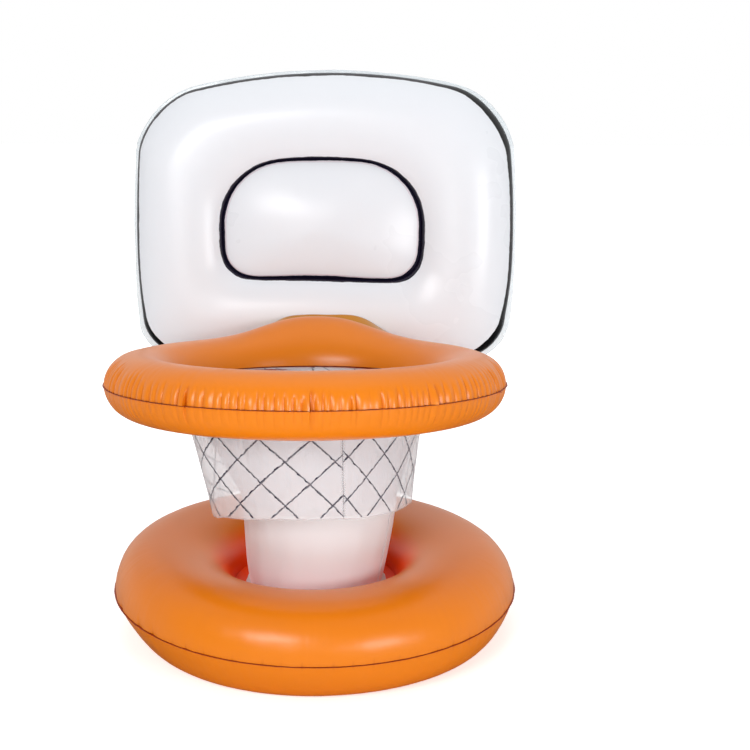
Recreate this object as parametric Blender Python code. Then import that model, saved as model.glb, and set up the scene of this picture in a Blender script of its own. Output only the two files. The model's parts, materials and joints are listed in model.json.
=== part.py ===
# Floating basketball hoop, an inflated vinyl toy, in metres and +Z up.
# The front faces -Y. The base ring stands on the floor, and the rim, its net and the
# backboard lean back together.
import math

import bmesh
import bpy
from mathutils import Matrix
from mathutils import Vector

# Sheets and welds
WELD_GAP = 0.0003
FLANGE_THICKNESS = 0.0008
SHEET_THICKNESS = 0.0010

# Base ring
BASE_OUTER_RADIUS = 0.3100
BASE_TUBE_RADIUS = 0.0725
BASE_INNER_REACH = 0.1100
BASE_FLAT_DEPTH = 0.0022
BASE_SEAM_REACH = 0.0020
BASE_SEAM_BITE = 0.0080
BASE_INNER_SEAM_REACH = 0.0060

# Column on the floor sheet
COLUMN_BOTTOM_RADIUS = 0.1035
COLUMN_TOP_RADIUS = 0.1235
COLUMN_HEIGHT = 0.1620
COLUMN_EDGE_RADIUS = 0.0090
COLUMN_FOOT_RADIUS = 0.0040
COLUMN_FLANGE_REACH = 0.0055
COLUMN_SEAM_WIDTH = 0.0050
COLUMN_SEAM_AZIMUTH = math.radians(-22.0)

# Rim
RIM_OUTER_RADIUS = 0.3029
RIM_TUBE_RADIUS = 0.0520
RIM_TUBE_HALF_HEIGHT = 0.0478
RIM_HEIGHT = 0.3944
RIM_LEAN = math.radians(8.0)
RIM_SEAM_REACH = 0.0020
RIM_SEAM_BITE = 0.0060
RIM_INNER_SEAM_REACH = 0.0062

# Raised seat at the back of the rim
HUMP_RISE = 0.0275
HUMP_SHIFT = 0.0250
HUMP_SPREAD = math.radians(22.0)
HUMP_FALL_POWER = 2.4
TAB_HALF_ANGLE = math.radians(19.3)
TAB_CREST_RISE = 0.0285
TAB_SPREAD = math.radians(24.5)
TAB_FALL_POWER = 4
TAB_RISE = 0.0035
TAB_DIP = 0.0045
TAB_ROUNDING_POWER = 4
TAB_FOOT_SHARE = 0.86
TAB_STEPS = 6

# Net skirt and the funnel inside it
NET_DROP = 0.1840
NET_SIDE_DROP = 0.0100
NET_BOTTOM_RADIUS = 0.1570
NET_FLARE_POWER = 1.15
NET_HEM = 0.0050
NET_LAP_WIDTH = 0.0070
NET_LAP_AZIMUTH = math.radians(-71.25)
FUNNEL_BAND = 0.0120
FUNNEL_BAND_DROP = 0.0110

# Backboard
BOARD_WIDTH = 0.6560
BOARD_HEIGHT = 0.4920
BOARD_DROP = 0.0060
BOARD_SETBACK = 0.0456
BOARD_TOP_CORNER = 0.1000
BOARD_BOTTOM_CORNER = 0.0720
BOARD_TOP_BOW = 0.0500
BOARD_SIDE_BOW = 0.0120
BOARD_FLANGE_WIDTH = 0.0080
BOARD_FLANGE_BITE = 0.0060
PANEL_WIDTH = 0.3340
PANEL_HEIGHT = 0.2060
PANEL_BOTTOM = 0.1387
PANEL_TOP_CORNER = 0.0780
PANEL_BOTTOM_CORNER = 0.0480
PANEL_TOP_BOW = 0.0120
PANEL_SIDE_BOW = 0.0060
BORDER_THICKNESS = 0.0450
VALLEY_THICKNESS = 0.0160
PANEL_THICKNESS = 0.0360
WEB_HALF_WIDTH = 0.1000

# Air valves
VALVE_FLANGE_RADIUS = 0.0125
VALVE_SEAT_DEPTH = 0.0026
VALVE_CLEARANCE = 0.0003
STEM_RADIUS = 0.0050
STEM_BORE_RADIUS = 0.0033
STEM_LENGTH = 0.0160
COLLAR_RADIUS = 0.0105
COLLAR_THICKNESS = 0.0012
PLUG_RADIUS = 0.0027
PLUG_TIP_RADIUS = 0.0016
PLUG_LENGTH = 0.0050
CAP_RADIUS = 0.0056
CAP_THICKNESS = 0.0012
STRAP_WIDTH = 0.0034
STRAP_THICKNESS = 0.0008
HINGE_OFFSET = 0.0088
BASE_VALVE_ANGLE = math.radians(35.0)
RIM_VALVE_AZIMUTH = math.radians(58.0)
RIM_VALVE_ANGLE = math.radians(-50.0)
COLUMN_VALVE_HEIGHT = 0.0480

# Facets
RING_STEPS = 56
COLUMN_STEPS = 48
TUBE_SEGMENTS = 9
VALVE_STEPS = 12
CORNER_SEGMENTS = 6
LONG_SIDE_SEGMENTS = 8
SHORT_SIDE_SEGMENTS = 5
SMOOTH_ANGLE = math.radians(40.0)
MERGE_DISTANCE = 0.00001

# Derived sizes
BASE_RING_RADIUS = BASE_OUTER_RADIUS - BASE_TUBE_RADIUS
BASE_HOLE_RADIUS = BASE_RING_RADIUS - BASE_INNER_REACH
BASE_SEAM_HEIGHT = BASE_TUBE_RADIUS - BASE_FLAT_DEPTH
RIM_RING_RADIUS = RIM_OUTER_RADIUS - RIM_TUBE_RADIUS
RIM_HOLE_RADIUS = RIM_RING_RADIUS - RIM_TUBE_RADIUS
HALF_SLIT = FLANGE_THICKNESS / 2 + WELD_GAP
FLOOR_SHEET_BASE = HALF_SLIT
COLUMN_FLANGE_BASE = FLOOR_SHEET_BASE + SHEET_THICKNESS + WELD_GAP
COLUMN_BASE = COLUMN_FLANGE_BASE + FLANGE_THICKNESS + WELD_GAP
COLUMN_TOP = BASE_SEAM_HEIGHT + COLUMN_BASE + COLUMN_HEIGHT
BOARD_PLANE = RIM_OUTER_RADIUS + BOARD_SETBACK
REAR = math.pi / 2


def clear_scene():
    for item in list(bpy.data.objects):
        bpy.data.objects.remove(item, do_unlink=True)


def make_material(name, colour, roughness, alpha=1.0):
    material = bpy.data.materials.new(name)
    material.use_nodes = True
    shader = material.node_tree.nodes["Principled BSDF"]
    shader.inputs["Base Color"].default_value = (*colour, 1.0)
    shader.inputs["Roughness"].default_value = roughness
    shader.inputs["Metallic"].default_value = 0.0
    shader.inputs["Alpha"].default_value = alpha
    material.diffuse_color = (*colour, alpha)
    return material


def make_frame(name, parent=None, matrix=None):
    frame = bpy.data.objects.new(name, None)
    bpy.context.scene.collection.objects.link(frame)
    frame.parent = parent
    if matrix is not None:
        frame.matrix_local = matrix
    return frame


def make_object(name, bm, material, parent):
    bmesh.ops.recalc_face_normals(bm, faces=bm.faces)
    mesh = bpy.data.meshes.new(name)
    bm.to_mesh(mesh)
    bm.free()
    mesh.materials.append(material)
    mesh.shade_smooth()
    mesh.set_sharp_from_angle(angle=SMOOTH_ANGLE)
    piece = bpy.data.objects.new(name, mesh)
    bpy.context.scene.collection.objects.link(piece)
    piece.parent = parent
    return piece


def make_helper(name, bm, parent):
    # a cutter or a piece to be joined, which isn't part of the object by itself
    helper = make_object(name, bm, None, parent)
    helper.hide_render = True
    helper.display_type = "WIRE"
    return helper


def add_boolean(piece, helper, operation):
    modifier = piece.modifiers.new(helper.name, "BOOLEAN")
    modifier.object = helper
    modifier.operation = operation
    modifier.solver = "EXACT"


def arc(centre_radius, centre_height, radius, start, end, segments):
    # points of an arc in the section plane, as (distance from the axis, height)
    points = []
    for index in range(segments + 1):
        angle = start + (end - start) * index / segments
        points.append((centre_radius + radius * math.cos(angle), centre_height + radius * math.sin(angle)))
    return points


def spin_profile(points, steps, closed=True, start=0.0, sweep=math.tau):
    # turns a section about Z; an open section starts and ends on the axis
    bm = bmesh.new()
    verts = []
    for radius, height in points:
        verts.append(bm.verts.new((radius * math.cos(start), radius * math.sin(start), height)))
    edges = [bm.edges.new(pair) for pair in zip(verts, verts[1:])]
    if closed:
        edges.append(bm.edges.new((verts[-1], verts[0])))
    whole = sweep == math.tau
    if not whole:
        bm.faces.new(verts)
    bmesh.ops.spin(
        bm, geom=verts + edges + bm.faces[:], axis=(0, 0, 1), cent=(0, 0, 0),
        angle=sweep, steps=steps, use_merge=whole,
    )
    bmesh.ops.remove_doubles(bm, verts=bm.verts, dist=MERGE_DISTANCE)
    return bm


def flat_ring(inner, outer, base, thickness):
    return [(inner, base), (outer, base), (outer, base + thickness), (inner, base + thickness)]


def bridge_rings(rings, cyclic=False):
    # joins loops of points, each loop to the next, into one closed body
    bm = bmesh.new()
    loops = []
    for ring in rings:
        verts = [bm.verts.new(point) for point in ring]
        loops.append([bm.edges.new((verts[i - 1], verts[i])) for i in range(len(verts))])
    pairs = list(zip(loops, loops[1:]))
    if cyclic:
        pairs.append((loops[-1], loops[0]))
    for first, second in pairs:
        bmesh.ops.bridge_loops(bm, edges=first + second)
    if not cyclic:
        bmesh.ops.contextual_create(bm, geom=loops[0])
        bmesh.ops.contextual_create(bm, geom=loops[-1])
    return bm


def widen_inside(points, ring_radius, inner_reach, tube_radius):
    # the side of a round tube that faces the hole reaches farther in
    wider = []
    for radius, height in points:
        if radius < ring_radius:
            radius = ring_radius - (ring_radius - radius) * inner_reach / tube_radius
        wider.append((radius, height))
    return wider


def upper_half(ring_radius, tube_radius, half_height, segments):
    lift = math.asin(HALF_SLIT / half_height)
    turn = arc(0.0, 0.0, 1.0, lift, math.pi - lift, segments)
    return [(ring_radius + tube_radius * across, half_height * rise) for across, rise in turn]


def flattened_half(ring_radius, tube_radius, flat_depth, segments):
    # lower half of a tube that is pressed flat where it stands
    lift = math.asin(HALF_SLIT / tube_radius)
    flat = math.asin((tube_radius - flat_depth) / tube_radius)
    half = segments // 2
    outer = arc(ring_radius, 0.0, tube_radius, -lift, -flat, half)
    inner = arc(ring_radius, 0.0, tube_radius, flat - math.pi, lift - math.pi, half)
    return outer + inner


def seam_ring(outer_edge, inner_edge):
    return flat_ring(inner_edge, outer_edge, -FLANGE_THICKNESS / 2, FLANGE_THICKNESS)


def bell(angle, spread, power):
    return math.exp(-(abs(angle) / spread) ** power)


def hump_point(rear_angle, radius, height):
    # where the raised seat takes a point of the plain rim
    share = max(0.0, height - HALF_SLIT) / (RIM_TUBE_HALF_HEIGHT - HALF_SLIT)
    weight = bell(rear_angle, HUMP_SPREAD, HUMP_FALL_POWER)
    return radius + HUMP_SHIFT * weight * share ** 2, height + HUMP_RISE * weight * share


def raise_hump(bm):
    for vert in bm.verts:
        radius = vert.co.xy.length
        rear_angle = abs(math.atan2(vert.co.x, vert.co.y))
        new_radius, height = hump_point(rear_angle, radius, vert.co.z)
        vert.co.x *= new_radius / radius
        vert.co.y *= new_radius / radius
        vert.co.z = height


def build_base(parent, orange, seam_orange):
    ring, tube = BASE_RING_RADIUS, BASE_TUBE_RADIUS
    above = widen_inside(upper_half(ring, tube, tube, TUBE_SEGMENTS), ring, BASE_INNER_REACH, tube)
    upper_skin = make_object("base_upper_skin", spin_profile(above, RING_STEPS), orange, parent)
    below = flattened_half(ring, tube, BASE_FLAT_DEPTH, TUBE_SEGMENTS - 1)
    lower = spin_profile(widen_inside(below, ring, BASE_INNER_REACH, tube), RING_STEPS)
    make_object("base_lower_skin", lower, orange, parent)
    outer_seam = seam_ring(BASE_OUTER_RADIUS + BASE_SEAM_REACH, BASE_OUTER_RADIUS - BASE_SEAM_BITE)
    make_object("base_outer_seam", spin_profile(outer_seam, RING_STEPS), seam_orange, parent)
    inner_seam = seam_ring(BASE_HOLE_RADIUS + BASE_SEAM_BITE, BASE_HOLE_RADIUS - BASE_INNER_SEAM_REACH)
    make_object("base_inner_seam", spin_profile(inner_seam, RING_STEPS), seam_orange, parent)
    sheet_radius = BASE_HOLE_RADIUS - 2 * WELD_GAP
    sheet = [
        (0.0, FLOOR_SHEET_BASE),
        (sheet_radius, FLOOR_SHEET_BASE),
        (sheet_radius, FLOOR_SHEET_BASE + SHEET_THICKNESS),
        (0.0, FLOOR_SHEET_BASE + SHEET_THICKNESS),
    ]
    make_object("base_floor_sheet", spin_profile(sheet, RING_STEPS, closed=False), orange, parent)
    return upper_skin


def column_radius(height):
    # outer radius of the column's wall at a height above its foot
    return COLUMN_BOTTOM_RADIUS + (COLUMN_TOP_RADIUS - COLUMN_BOTTOM_RADIUS) * height / COLUMN_HEIGHT


def build_column(parent, white, weld_white):
    edge = COLUMN_EDGE_RADIUS
    foot_edge = COLUMN_FOOT_RADIUS
    foot = arc(column_radius(foot_edge) - foot_edge, foot_edge, foot_edge, -REAR, 0.0, 2)
    head = arc(column_radius(COLUMN_HEIGHT - edge) - edge, COLUMN_HEIGHT - edge, edge, 0.0, REAR, 3)
    profile = [(0.0, 0.0)] + foot + head + [(0.0, COLUMN_HEIGHT)]
    raised = [(radius, height + COLUMN_BASE) for radius, height in profile]
    wall = make_object("column_body", spin_profile(raised, COLUMN_STEPS, closed=False), white, parent)

    flange_radius = COLUMN_BOTTOM_RADIUS + COLUMN_FLANGE_REACH
    flange_hole = COLUMN_BOTTOM_RADIUS - 2 * COLUMN_FLANGE_REACH
    flange = flat_ring(flange_hole, flange_radius, COLUMN_FLANGE_BASE, FLANGE_THICKNESS)
    make_object("column_foot_flange", spin_profile(flange, COLUMN_STEPS), weld_white, parent)

    disc_radius = column_radius(COLUMN_HEIGHT - edge) - edge
    disc_base = COLUMN_BASE + COLUMN_HEIGHT + WELD_GAP
    disc = [
        (0.0, disc_base),
        (disc_radius, disc_base),
        (disc_radius, disc_base + FLANGE_THICKNESS),
        (0.0, disc_base + FLANGE_THICKNESS),
    ]
    make_object("column_top_disc", spin_profile(disc, COLUMN_STEPS, closed=False), white, parent)

    seam_foot = 2 * edge
    seam_head = COLUMN_HEIGHT - FUNNEL_BAND_DROP - FUNNEL_BAND - edge
    inside = WELD_GAP
    outside = WELD_GAP + FLANGE_THICKNESS
    seam = [
        (column_radius(seam_foot) + inside, COLUMN_BASE + seam_foot),
        (column_radius(seam_foot) + outside, COLUMN_BASE + seam_foot),
        (column_radius(seam_head) + outside, COLUMN_BASE + seam_head),
        (column_radius(seam_head) + inside, COLUMN_BASE + seam_head),
    ]
    sweep = COLUMN_SEAM_WIDTH / COLUMN_BOTTOM_RADIUS
    strip = spin_profile(seam, 1, start=COLUMN_SEAM_AZIMUTH - sweep / 2, sweep=sweep)
    make_object("column_side_seam", strip, weld_white, parent)
    return wall


def build_rim(parent, orange, seam_orange):
    section = upper_half(RIM_RING_RADIUS, RIM_TUBE_RADIUS, RIM_TUBE_HALF_HEIGHT, TUBE_SEGMENTS)
    upper = spin_profile(section, RING_STEPS)
    raise_hump(upper)
    make_object("rim_upper_skin", upper, orange, parent)
    lower = spin_profile([(radius, -height) for radius, height in section], RING_STEPS)
    lower_skin = make_object("rim_lower_skin", lower, orange, parent)
    outer_seam = seam_ring(RIM_OUTER_RADIUS + RIM_SEAM_REACH, RIM_OUTER_RADIUS - RIM_SEAM_BITE)
    make_object("rim_outer_seam", spin_profile(outer_seam, RING_STEPS), seam_orange, parent)
    inner_seam = seam_ring(RIM_HOLE_RADIUS + RIM_SEAM_BITE, RIM_HOLE_RADIUS - RIM_INNER_SEAM_REACH)
    make_object("rim_inner_seam", spin_profile(inner_seam, RING_STEPS), seam_orange, parent)
    return lower_skin


def board_front(height):
    # how far the backboard's front stands out of its mid plane, at a height over its lower edge
    share = (height - BOARD_FLANGE_WIDTH) / (PANEL_BOTTOM - BOARD_FLANGE_WIDTH)
    return HALF_SLIT + border_bulge(share)


def build_tab(parent, orange):
    # thin crescent that rises from the back of the raised seat to the backboard's front
    foot_height = RIM_TUBE_HALF_HEIGHT * TAB_FOOT_SHARE
    foot_radius = RIM_RING_RADIUS + RIM_TUBE_RADIUS * math.sqrt(1 - TAB_FOOT_SHARE ** 2)
    board_face = BOARD_PLANE - board_front(RIM_TUBE_HALF_HEIGHT + TAB_CREST_RISE + BOARD_DROP) - WELD_GAP
    bm = bmesh.new()
    bmesh.ops.create_grid(bm, x_segments=TAB_STEPS, y_segments=1, size=1.0)
    for vert in bm.verts:
        share, at_head = vert.co.x, vert.co.y > 0
        angle = share * TAB_HALF_ANGLE
        radius, height = hump_point(abs(angle), foot_radius, foot_height)
        crest = RIM_TUBE_HALF_HEIGHT + TAB_CREST_RISE * bell(angle, TAB_SPREAD, TAB_FALL_POWER)
        rise = crest - TAB_DIP + TAB_RISE * (1 - share ** TAB_ROUNDING_POWER)
        x = math.sin(angle) * radius
        foot = Vector((x, math.cos(angle) * radius, height + 2 * WELD_GAP))
        vert.co = Vector((x, board_face, rise)) if at_head else foot
    bmesh.ops.triangulate(bm, faces=bm.faces)
    raised = bmesh.ops.extrude_face_region(bm, geom=bm.faces[:])["geom"]
    upper = [item for item in raised if isinstance(item, bmesh.types.BMVert)]
    bmesh.ops.translate(bm, verts=upper, vec=(0.0, 0.0, FLANGE_THICKNESS))
    make_object("board_rest_tab", bm, orange, parent)


def build_web(parent, clear):
    # flexible strip between the rim's outer seam and the backboard's lower edge
    stations = 8
    front_top = -HALF_SLIT
    rear_top = -BOARD_DROP - WELD_GAP
    front_radius = RIM_OUTER_RADIUS + WELD_GAP
    down = Vector((0.0, 0.0, -FLANGE_THICKNESS))
    rings = []
    for index in range(stations + 1):
        x = WEB_HALF_WIDTH * (2 * index / stations - 1)
        front = Vector((x, math.sqrt(front_radius ** 2 - x ** 2), front_top))
        lip = Vector((x, math.sqrt((RIM_OUTER_RADIUS + RIM_SEAM_REACH) ** 2 - x ** 2), front_top))
        rear = Vector((x, BOARD_PLANE + FLANGE_THICKNESS, rear_top))
        rings.append([front, lip, rear, rear + down, lip + down, front + down])
    make_object("board_hinge_web", bridge_rings(rings), clear, parent)


def net_radius(share):
    # radius of the net's outside at a share of its drop; it flares under the rim
    top = RIM_HOLE_RADIUS - RIM_INNER_SEAM_REACH
    return NET_BOTTOM_RADIUS + (top - NET_BOTTOM_RADIUS) * (1 - share) ** NET_FLARE_POWER


def lengthen_sides(bm):
    # the net's lower edge hangs lower at its two sides than at its front and back
    top = -HALF_SLIT - SHEET_THICKNESS
    for vert in bm.verts:
        side_share = vert.co.x ** 2 / vert.co.xy.length_squared
        drop_share = max(0.0, top - vert.co.z) / NET_DROP
        vert.co.z -= NET_SIDE_DROP * side_share * drop_share


def build_net(parent, clear, weld_clear):
    segments = 4
    hem_top = -HALF_SLIT
    outer = []
    for index in range(segments + 1):
        share = index / segments
        outer.append((net_radius(share), hem_top - SHEET_THICKNESS - share * NET_DROP))
    inner = [(radius - SHEET_THICKNESS, height) for radius, height in outer]
    hem = [
        (outer[0][0] - SHEET_THICKNESS, hem_top),
        (outer[0][0] + NET_HEM, hem_top),
        (outer[0][0] + NET_HEM, hem_top - SHEET_THICKNESS),
    ]
    profile = hem + outer + inner[:0:-1]
    skirt = spin_profile(profile, COLUMN_STEPS)
    lengthen_sides(skirt)
    make_object("net_skirt", skirt, clear, parent)

    inside = [(radius + WELD_GAP, height) for radius, height in outer[1:]]
    outside = [(radius + FLANGE_THICKNESS, height) for radius, height in inside]
    sweep = NET_LAP_WIDTH / NET_BOTTOM_RADIUS
    strip = spin_profile(inside + outside[::-1], 1, start=NET_LAP_AZIMUTH - sweep / 2, sweep=sweep)
    lengthen_sides(strip)
    make_object("net_lap_seam", strip, weld_clear, parent)


def build_funnel(parent, clear):
    # cone from under the net's hem, which leans with the rim, to a level band round the column
    segments = 3
    hem_top = -HALF_SLIT - SHEET_THICKNESS - WELD_GAP
    net_inside = net_radius(0.0) - SHEET_THICKNESS
    top_radius = net_inside - 2 * WELD_GAP
    band_top = COLUMN_TOP - FUNNEL_BAND_DROP - RIM_HEIGHT
    column_edge = column_radius(COLUMN_HEIGHT - FUNNEL_BAND_DROP) + WELD_GAP
    band_radius = column_radius(COLUMN_HEIGHT - FUNNEL_BAND_DROP - FUNNEL_BAND) + WELD_GAP
    outer = []
    for index in range(segments + 1):
        share = index / segments
        radius = top_radius + (column_edge + SHEET_THICKNESS - top_radius) * share
        outer.append((radius, hem_top + (band_top - hem_top) * share))
    outer.append((band_radius + SHEET_THICKNESS, band_top - FUNNEL_BAND))
    inner = [(radius - SHEET_THICKNESS, height) for radius, height in outer]
    bm = spin_profile(outer + inner[::-1], COLUMN_STEPS)
    for vert in bm.verts:
        share = min(1.0, max(0.0, (vert.co.z - band_top) / (hem_top - band_top)))
        pivot = Matrix.Translation((0.0, 0.0, vert.co.z * (1 - share)))
        vert.co = pivot @ Matrix.Rotation(-RIM_LEAN * share, 4, "X") @ pivot.inverted() @ vert.co
    make_object("funnel_sheet", bm, clear, parent)


def rounded_outline(width, height, top_corner, bottom_corner, top_bow, side_bow):
    # closed outline in the board's plane, from the lower right corner round, over its lower edge
    half = width / 2
    corners = [
        (half - bottom_corner, bottom_corner, bottom_corner, -REAR, SHORT_SIDE_SEGMENTS),
        (half - top_corner, height - top_corner, top_corner, 0.0, LONG_SIDE_SEGMENTS),
        (top_corner - half, height - top_corner, top_corner, REAR, SHORT_SIDE_SEGMENTS),
        (bottom_corner - half, bottom_corner, bottom_corner, 2 * REAR, LONG_SIDE_SEGMENTS),
    ]
    points = []
    for index, (x, z, radius, start, side_segments) in enumerate(corners):
        turn = arc(x, z, radius, start, start + REAR, CORNER_SEGMENTS)
        points += turn
        after = corners[(index + 1) % len(corners)]
        next_point = arc(after[0], after[1], after[2], after[3], after[3] + REAR, 1)[0]
        for step in range(1, side_segments):
            share = step / side_segments
            points.append((
                turn[-1][0] + (next_point[0] - turn[-1][0]) * share,
                turn[-1][1] + (next_point[1] - turn[-1][1]) * share,
            ))
    bowed = []
    for x, z in points:
        rise_share = z / height
        side_share = 2 * rise_share - 1
        bowed.append((
            x * (1 - side_bow / half * side_share ** 2),
            z - top_bow * (x / half) ** 2 * rise_share,
        ))
    return bowed


def board_outline(inset):
    outline = rounded_outline(
        BOARD_WIDTH - 2 * inset, BOARD_HEIGHT - 2 * inset, BOARD_TOP_CORNER - inset,
        BOARD_BOTTOM_CORNER - inset, BOARD_TOP_BOW, BOARD_SIDE_BOW,
    )
    return [(x, z + inset) for x, z in outline]


def panel_outline():
    outline = rounded_outline(
        PANEL_WIDTH, PANEL_HEIGHT, PANEL_TOP_CORNER, PANEL_BOTTOM_CORNER, PANEL_TOP_BOW, PANEL_SIDE_BOW
    )
    return [(x, z + PANEL_BOTTOM) for x, z in outline]


def border_bulge(share):
    # height of the inflated border, from the outer weld at 0 to the panel's line at 1
    if share < 0.5:
        return BORDER_THICKNESS * math.sqrt(max(0.0, 1 - (1 - 2 * share) ** 2))
    fall = math.sqrt(max(0.0, 1 - (2 * share - 1) ** 2))
    return VALLEY_THICKNESS + (BORDER_THICKNESS - VALLEY_THICKNESS) * fall


def panel_bulge(share):
    # height of the inner panel, from its line at 0 to its middle at 1
    return VALLEY_THICKNESS + (PANEL_THICKNESS - VALLEY_THICKNESS) * math.sqrt(1 - (1 - share) ** 2)


def build_board_skin(name, side, material, parent):
    outline = board_outline(BOARD_FLANGE_WIDTH)
    panel = panel_outline()
    middle_x = sum(x for x, z in panel) / len(panel)
    middle_z = sum(z for x, z in panel) / len(panel)
    border_shares = (0.0, 0.06, 0.2, 0.36, 0.52, 0.68, 0.84, 0.95, 1.0)
    panel_shares = (0.12, 0.35, 0.62, 0.85)
    rings = []
    for share in border_shares:
        depth = side * (HALF_SLIT + border_bulge(share))
        rings.append([
            (outer[0] + (inner[0] - outer[0]) * share, depth, outer[1] + (inner[1] - outer[1]) * share)
            for outer, inner in zip(outline, panel)
        ])
    for share in panel_shares:
        depth = side * (HALF_SLIT + panel_bulge(share))
        rings.append([
            (x + (middle_x - x) * share, depth, z + (middle_z - z) * share) for x, z in panel
        ])
    return make_object(name, bridge_rings(rings), material, parent)


def build_board(parent, white, clear):
    build_board_skin("board_front_skin", -1, white, parent)
    rear_skin = build_board_skin("board_rear_skin", 1, white, parent)
    edge = board_outline(0.0)
    bite = board_outline(BOARD_FLANGE_WIDTH + BOARD_FLANGE_BITE)
    half = FLANGE_THICKNESS / 2
    rings = [
        [(x, -half, z) for x, z in edge],
        [(x, half, z) for x, z in edge],
        [(x, half, z) for x, z in bite],
        [(x, -half, z) for x, z in bite],
    ]
    make_object("board_seam_flange", bridge_rings(rings, cyclic=True), clear, parent)
    return rear_skin


def build_valve(name, chamber, parent, matrix, soft_white):
    # the frame's Z points out of the chamber, and its origin lies on the chamber's surface
    frame = make_frame(name + "_frame", parent, matrix)
    flange_base = -VALVE_SEAT_DEPTH + WELD_GAP
    flange_top = flange_base + FLANGE_THICKNESS
    collar_base = flange_top + VALVE_CLEARANCE
    collar_top = collar_base + COLLAR_THICKNESS
    stem_foot = collar_base - STEM_LENGTH
    pocket_radius = STEM_RADIUS + VALVE_CLEARANCE
    seat_radius = VALVE_FLANGE_RADIUS + WELD_GAP
    above = VALVE_SEAT_DEPTH
    cutter = [
        (0.0, stem_foot - 2 * VALVE_CLEARANCE),
        (pocket_radius + VALVE_CLEARANCE, stem_foot - 2 * VALVE_CLEARANCE),
        (pocket_radius + VALVE_CLEARANCE, -VALVE_SEAT_DEPTH),
        (seat_radius, -VALVE_SEAT_DEPTH),
        (seat_radius, above),
        (0.0, above),
    ]
    pocket = make_helper(name + "_pocket", spin_profile(cutter, VALVE_STEPS, closed=False), frame)
    add_boolean(chamber, pocket, "DIFFERENCE")

    flange = flat_ring(pocket_radius, VALVE_FLANGE_RADIUS, flange_base, FLANGE_THICKNESS)
    make_object(name + "_flange", spin_profile(flange, VALVE_STEPS), soft_white, frame)

    bore_floor = collar_top - PLUG_LENGTH - 2 * VALVE_CLEARANCE
    stem = [
        (0.0, stem_foot),
        (STEM_RADIUS, stem_foot),
        (STEM_RADIUS, collar_base),
        (COLLAR_RADIUS, collar_base),
        (COLLAR_RADIUS, collar_top),
        (STEM_BORE_RADIUS, collar_top),
        (STEM_BORE_RADIUS, bore_floor),
        (0.0, bore_floor),
    ]
    make_object(name + "_stem", spin_profile(stem, VALVE_STEPS, closed=False), soft_white, frame)

    hinge_height = collar_top + VALVE_CLEARANCE + CAP_THICKNESS / 2
    hinge = make_frame(name + "_hinge", frame, Matrix.Translation((HINGE_OFFSET, 0.0, hinge_height)))
    half_cap = CAP_THICKNESS / 2
    plug = [
        (0.0, -half_cap - PLUG_LENGTH),
        (PLUG_TIP_RADIUS, -half_cap - PLUG_LENGTH),
        (PLUG_RADIUS, -half_cap),
        (CAP_RADIUS, -half_cap),
        (CAP_RADIUS, half_cap),
        (0.0, half_cap),
    ]
    plug_mesh = spin_profile(plug, VALVE_STEPS, closed=False)
    bmesh.ops.translate(plug_mesh, verts=plug_mesh.verts, vec=(-HINGE_OFFSET, 0.0, 0.0))
    plug_piece = make_object(name + "_plug", plug_mesh, soft_white, hinge)
    strap = bmesh.new()
    bmesh.ops.create_cube(strap, size=1.0)
    strap_length = HINGE_OFFSET - CAP_RADIUS / 2
    bmesh.ops.scale(strap, verts=strap.verts, vec=(strap_length, STRAP_WIDTH, STRAP_THICKNESS))
    bmesh.ops.translate(strap, verts=strap.verts, vec=(-strap_length / 2, 0.0, 0.0))
    add_boolean(plug_piece, make_helper(name + "_strap", strap, hinge), "UNION")
    barrel = bmesh.new()
    bmesh.ops.create_cone(
        barrel, cap_ends=True, segments=8, radius1=half_cap, radius2=half_cap,
        depth=STRAP_WIDTH + STRAP_THICKNESS, matrix=Matrix.Rotation(REAR, 4, "X"),
    )
    add_boolean(plug_piece, make_helper(name + "_barrel", barrel, hinge), "UNION")


def tube_place(ring_radius, tube_radius, half_height, azimuth, angle):
    # frame on a ring's tube, with Z out of the surface and X along the ring
    out = Matrix.Rotation(azimuth, 4, "Z")
    spot = (ring_radius + tube_radius * math.cos(angle), 0.0, half_height * math.sin(angle))
    normal_angle = math.atan2(tube_radius * math.sin(angle), half_height * math.cos(angle))
    tilt = Matrix.Rotation(REAR - normal_angle, 4, "Y")
    along = Matrix.Rotation(REAR, 4, "Z")
    return out @ Matrix.Translation(spot) @ tilt @ along


def stand_on_floor(root):
    # the middle of the whole box comes over the origin
    bpy.context.view_layer.update()
    depths = []
    for item in bpy.context.scene.objects:
        if item.type == "MESH" and not item.hide_render:
            depths += [(item.matrix_world @ vert.co).y for vert in item.data.vertices]
    root.location.y = -(min(depths) + max(depths)) / 2


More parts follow.
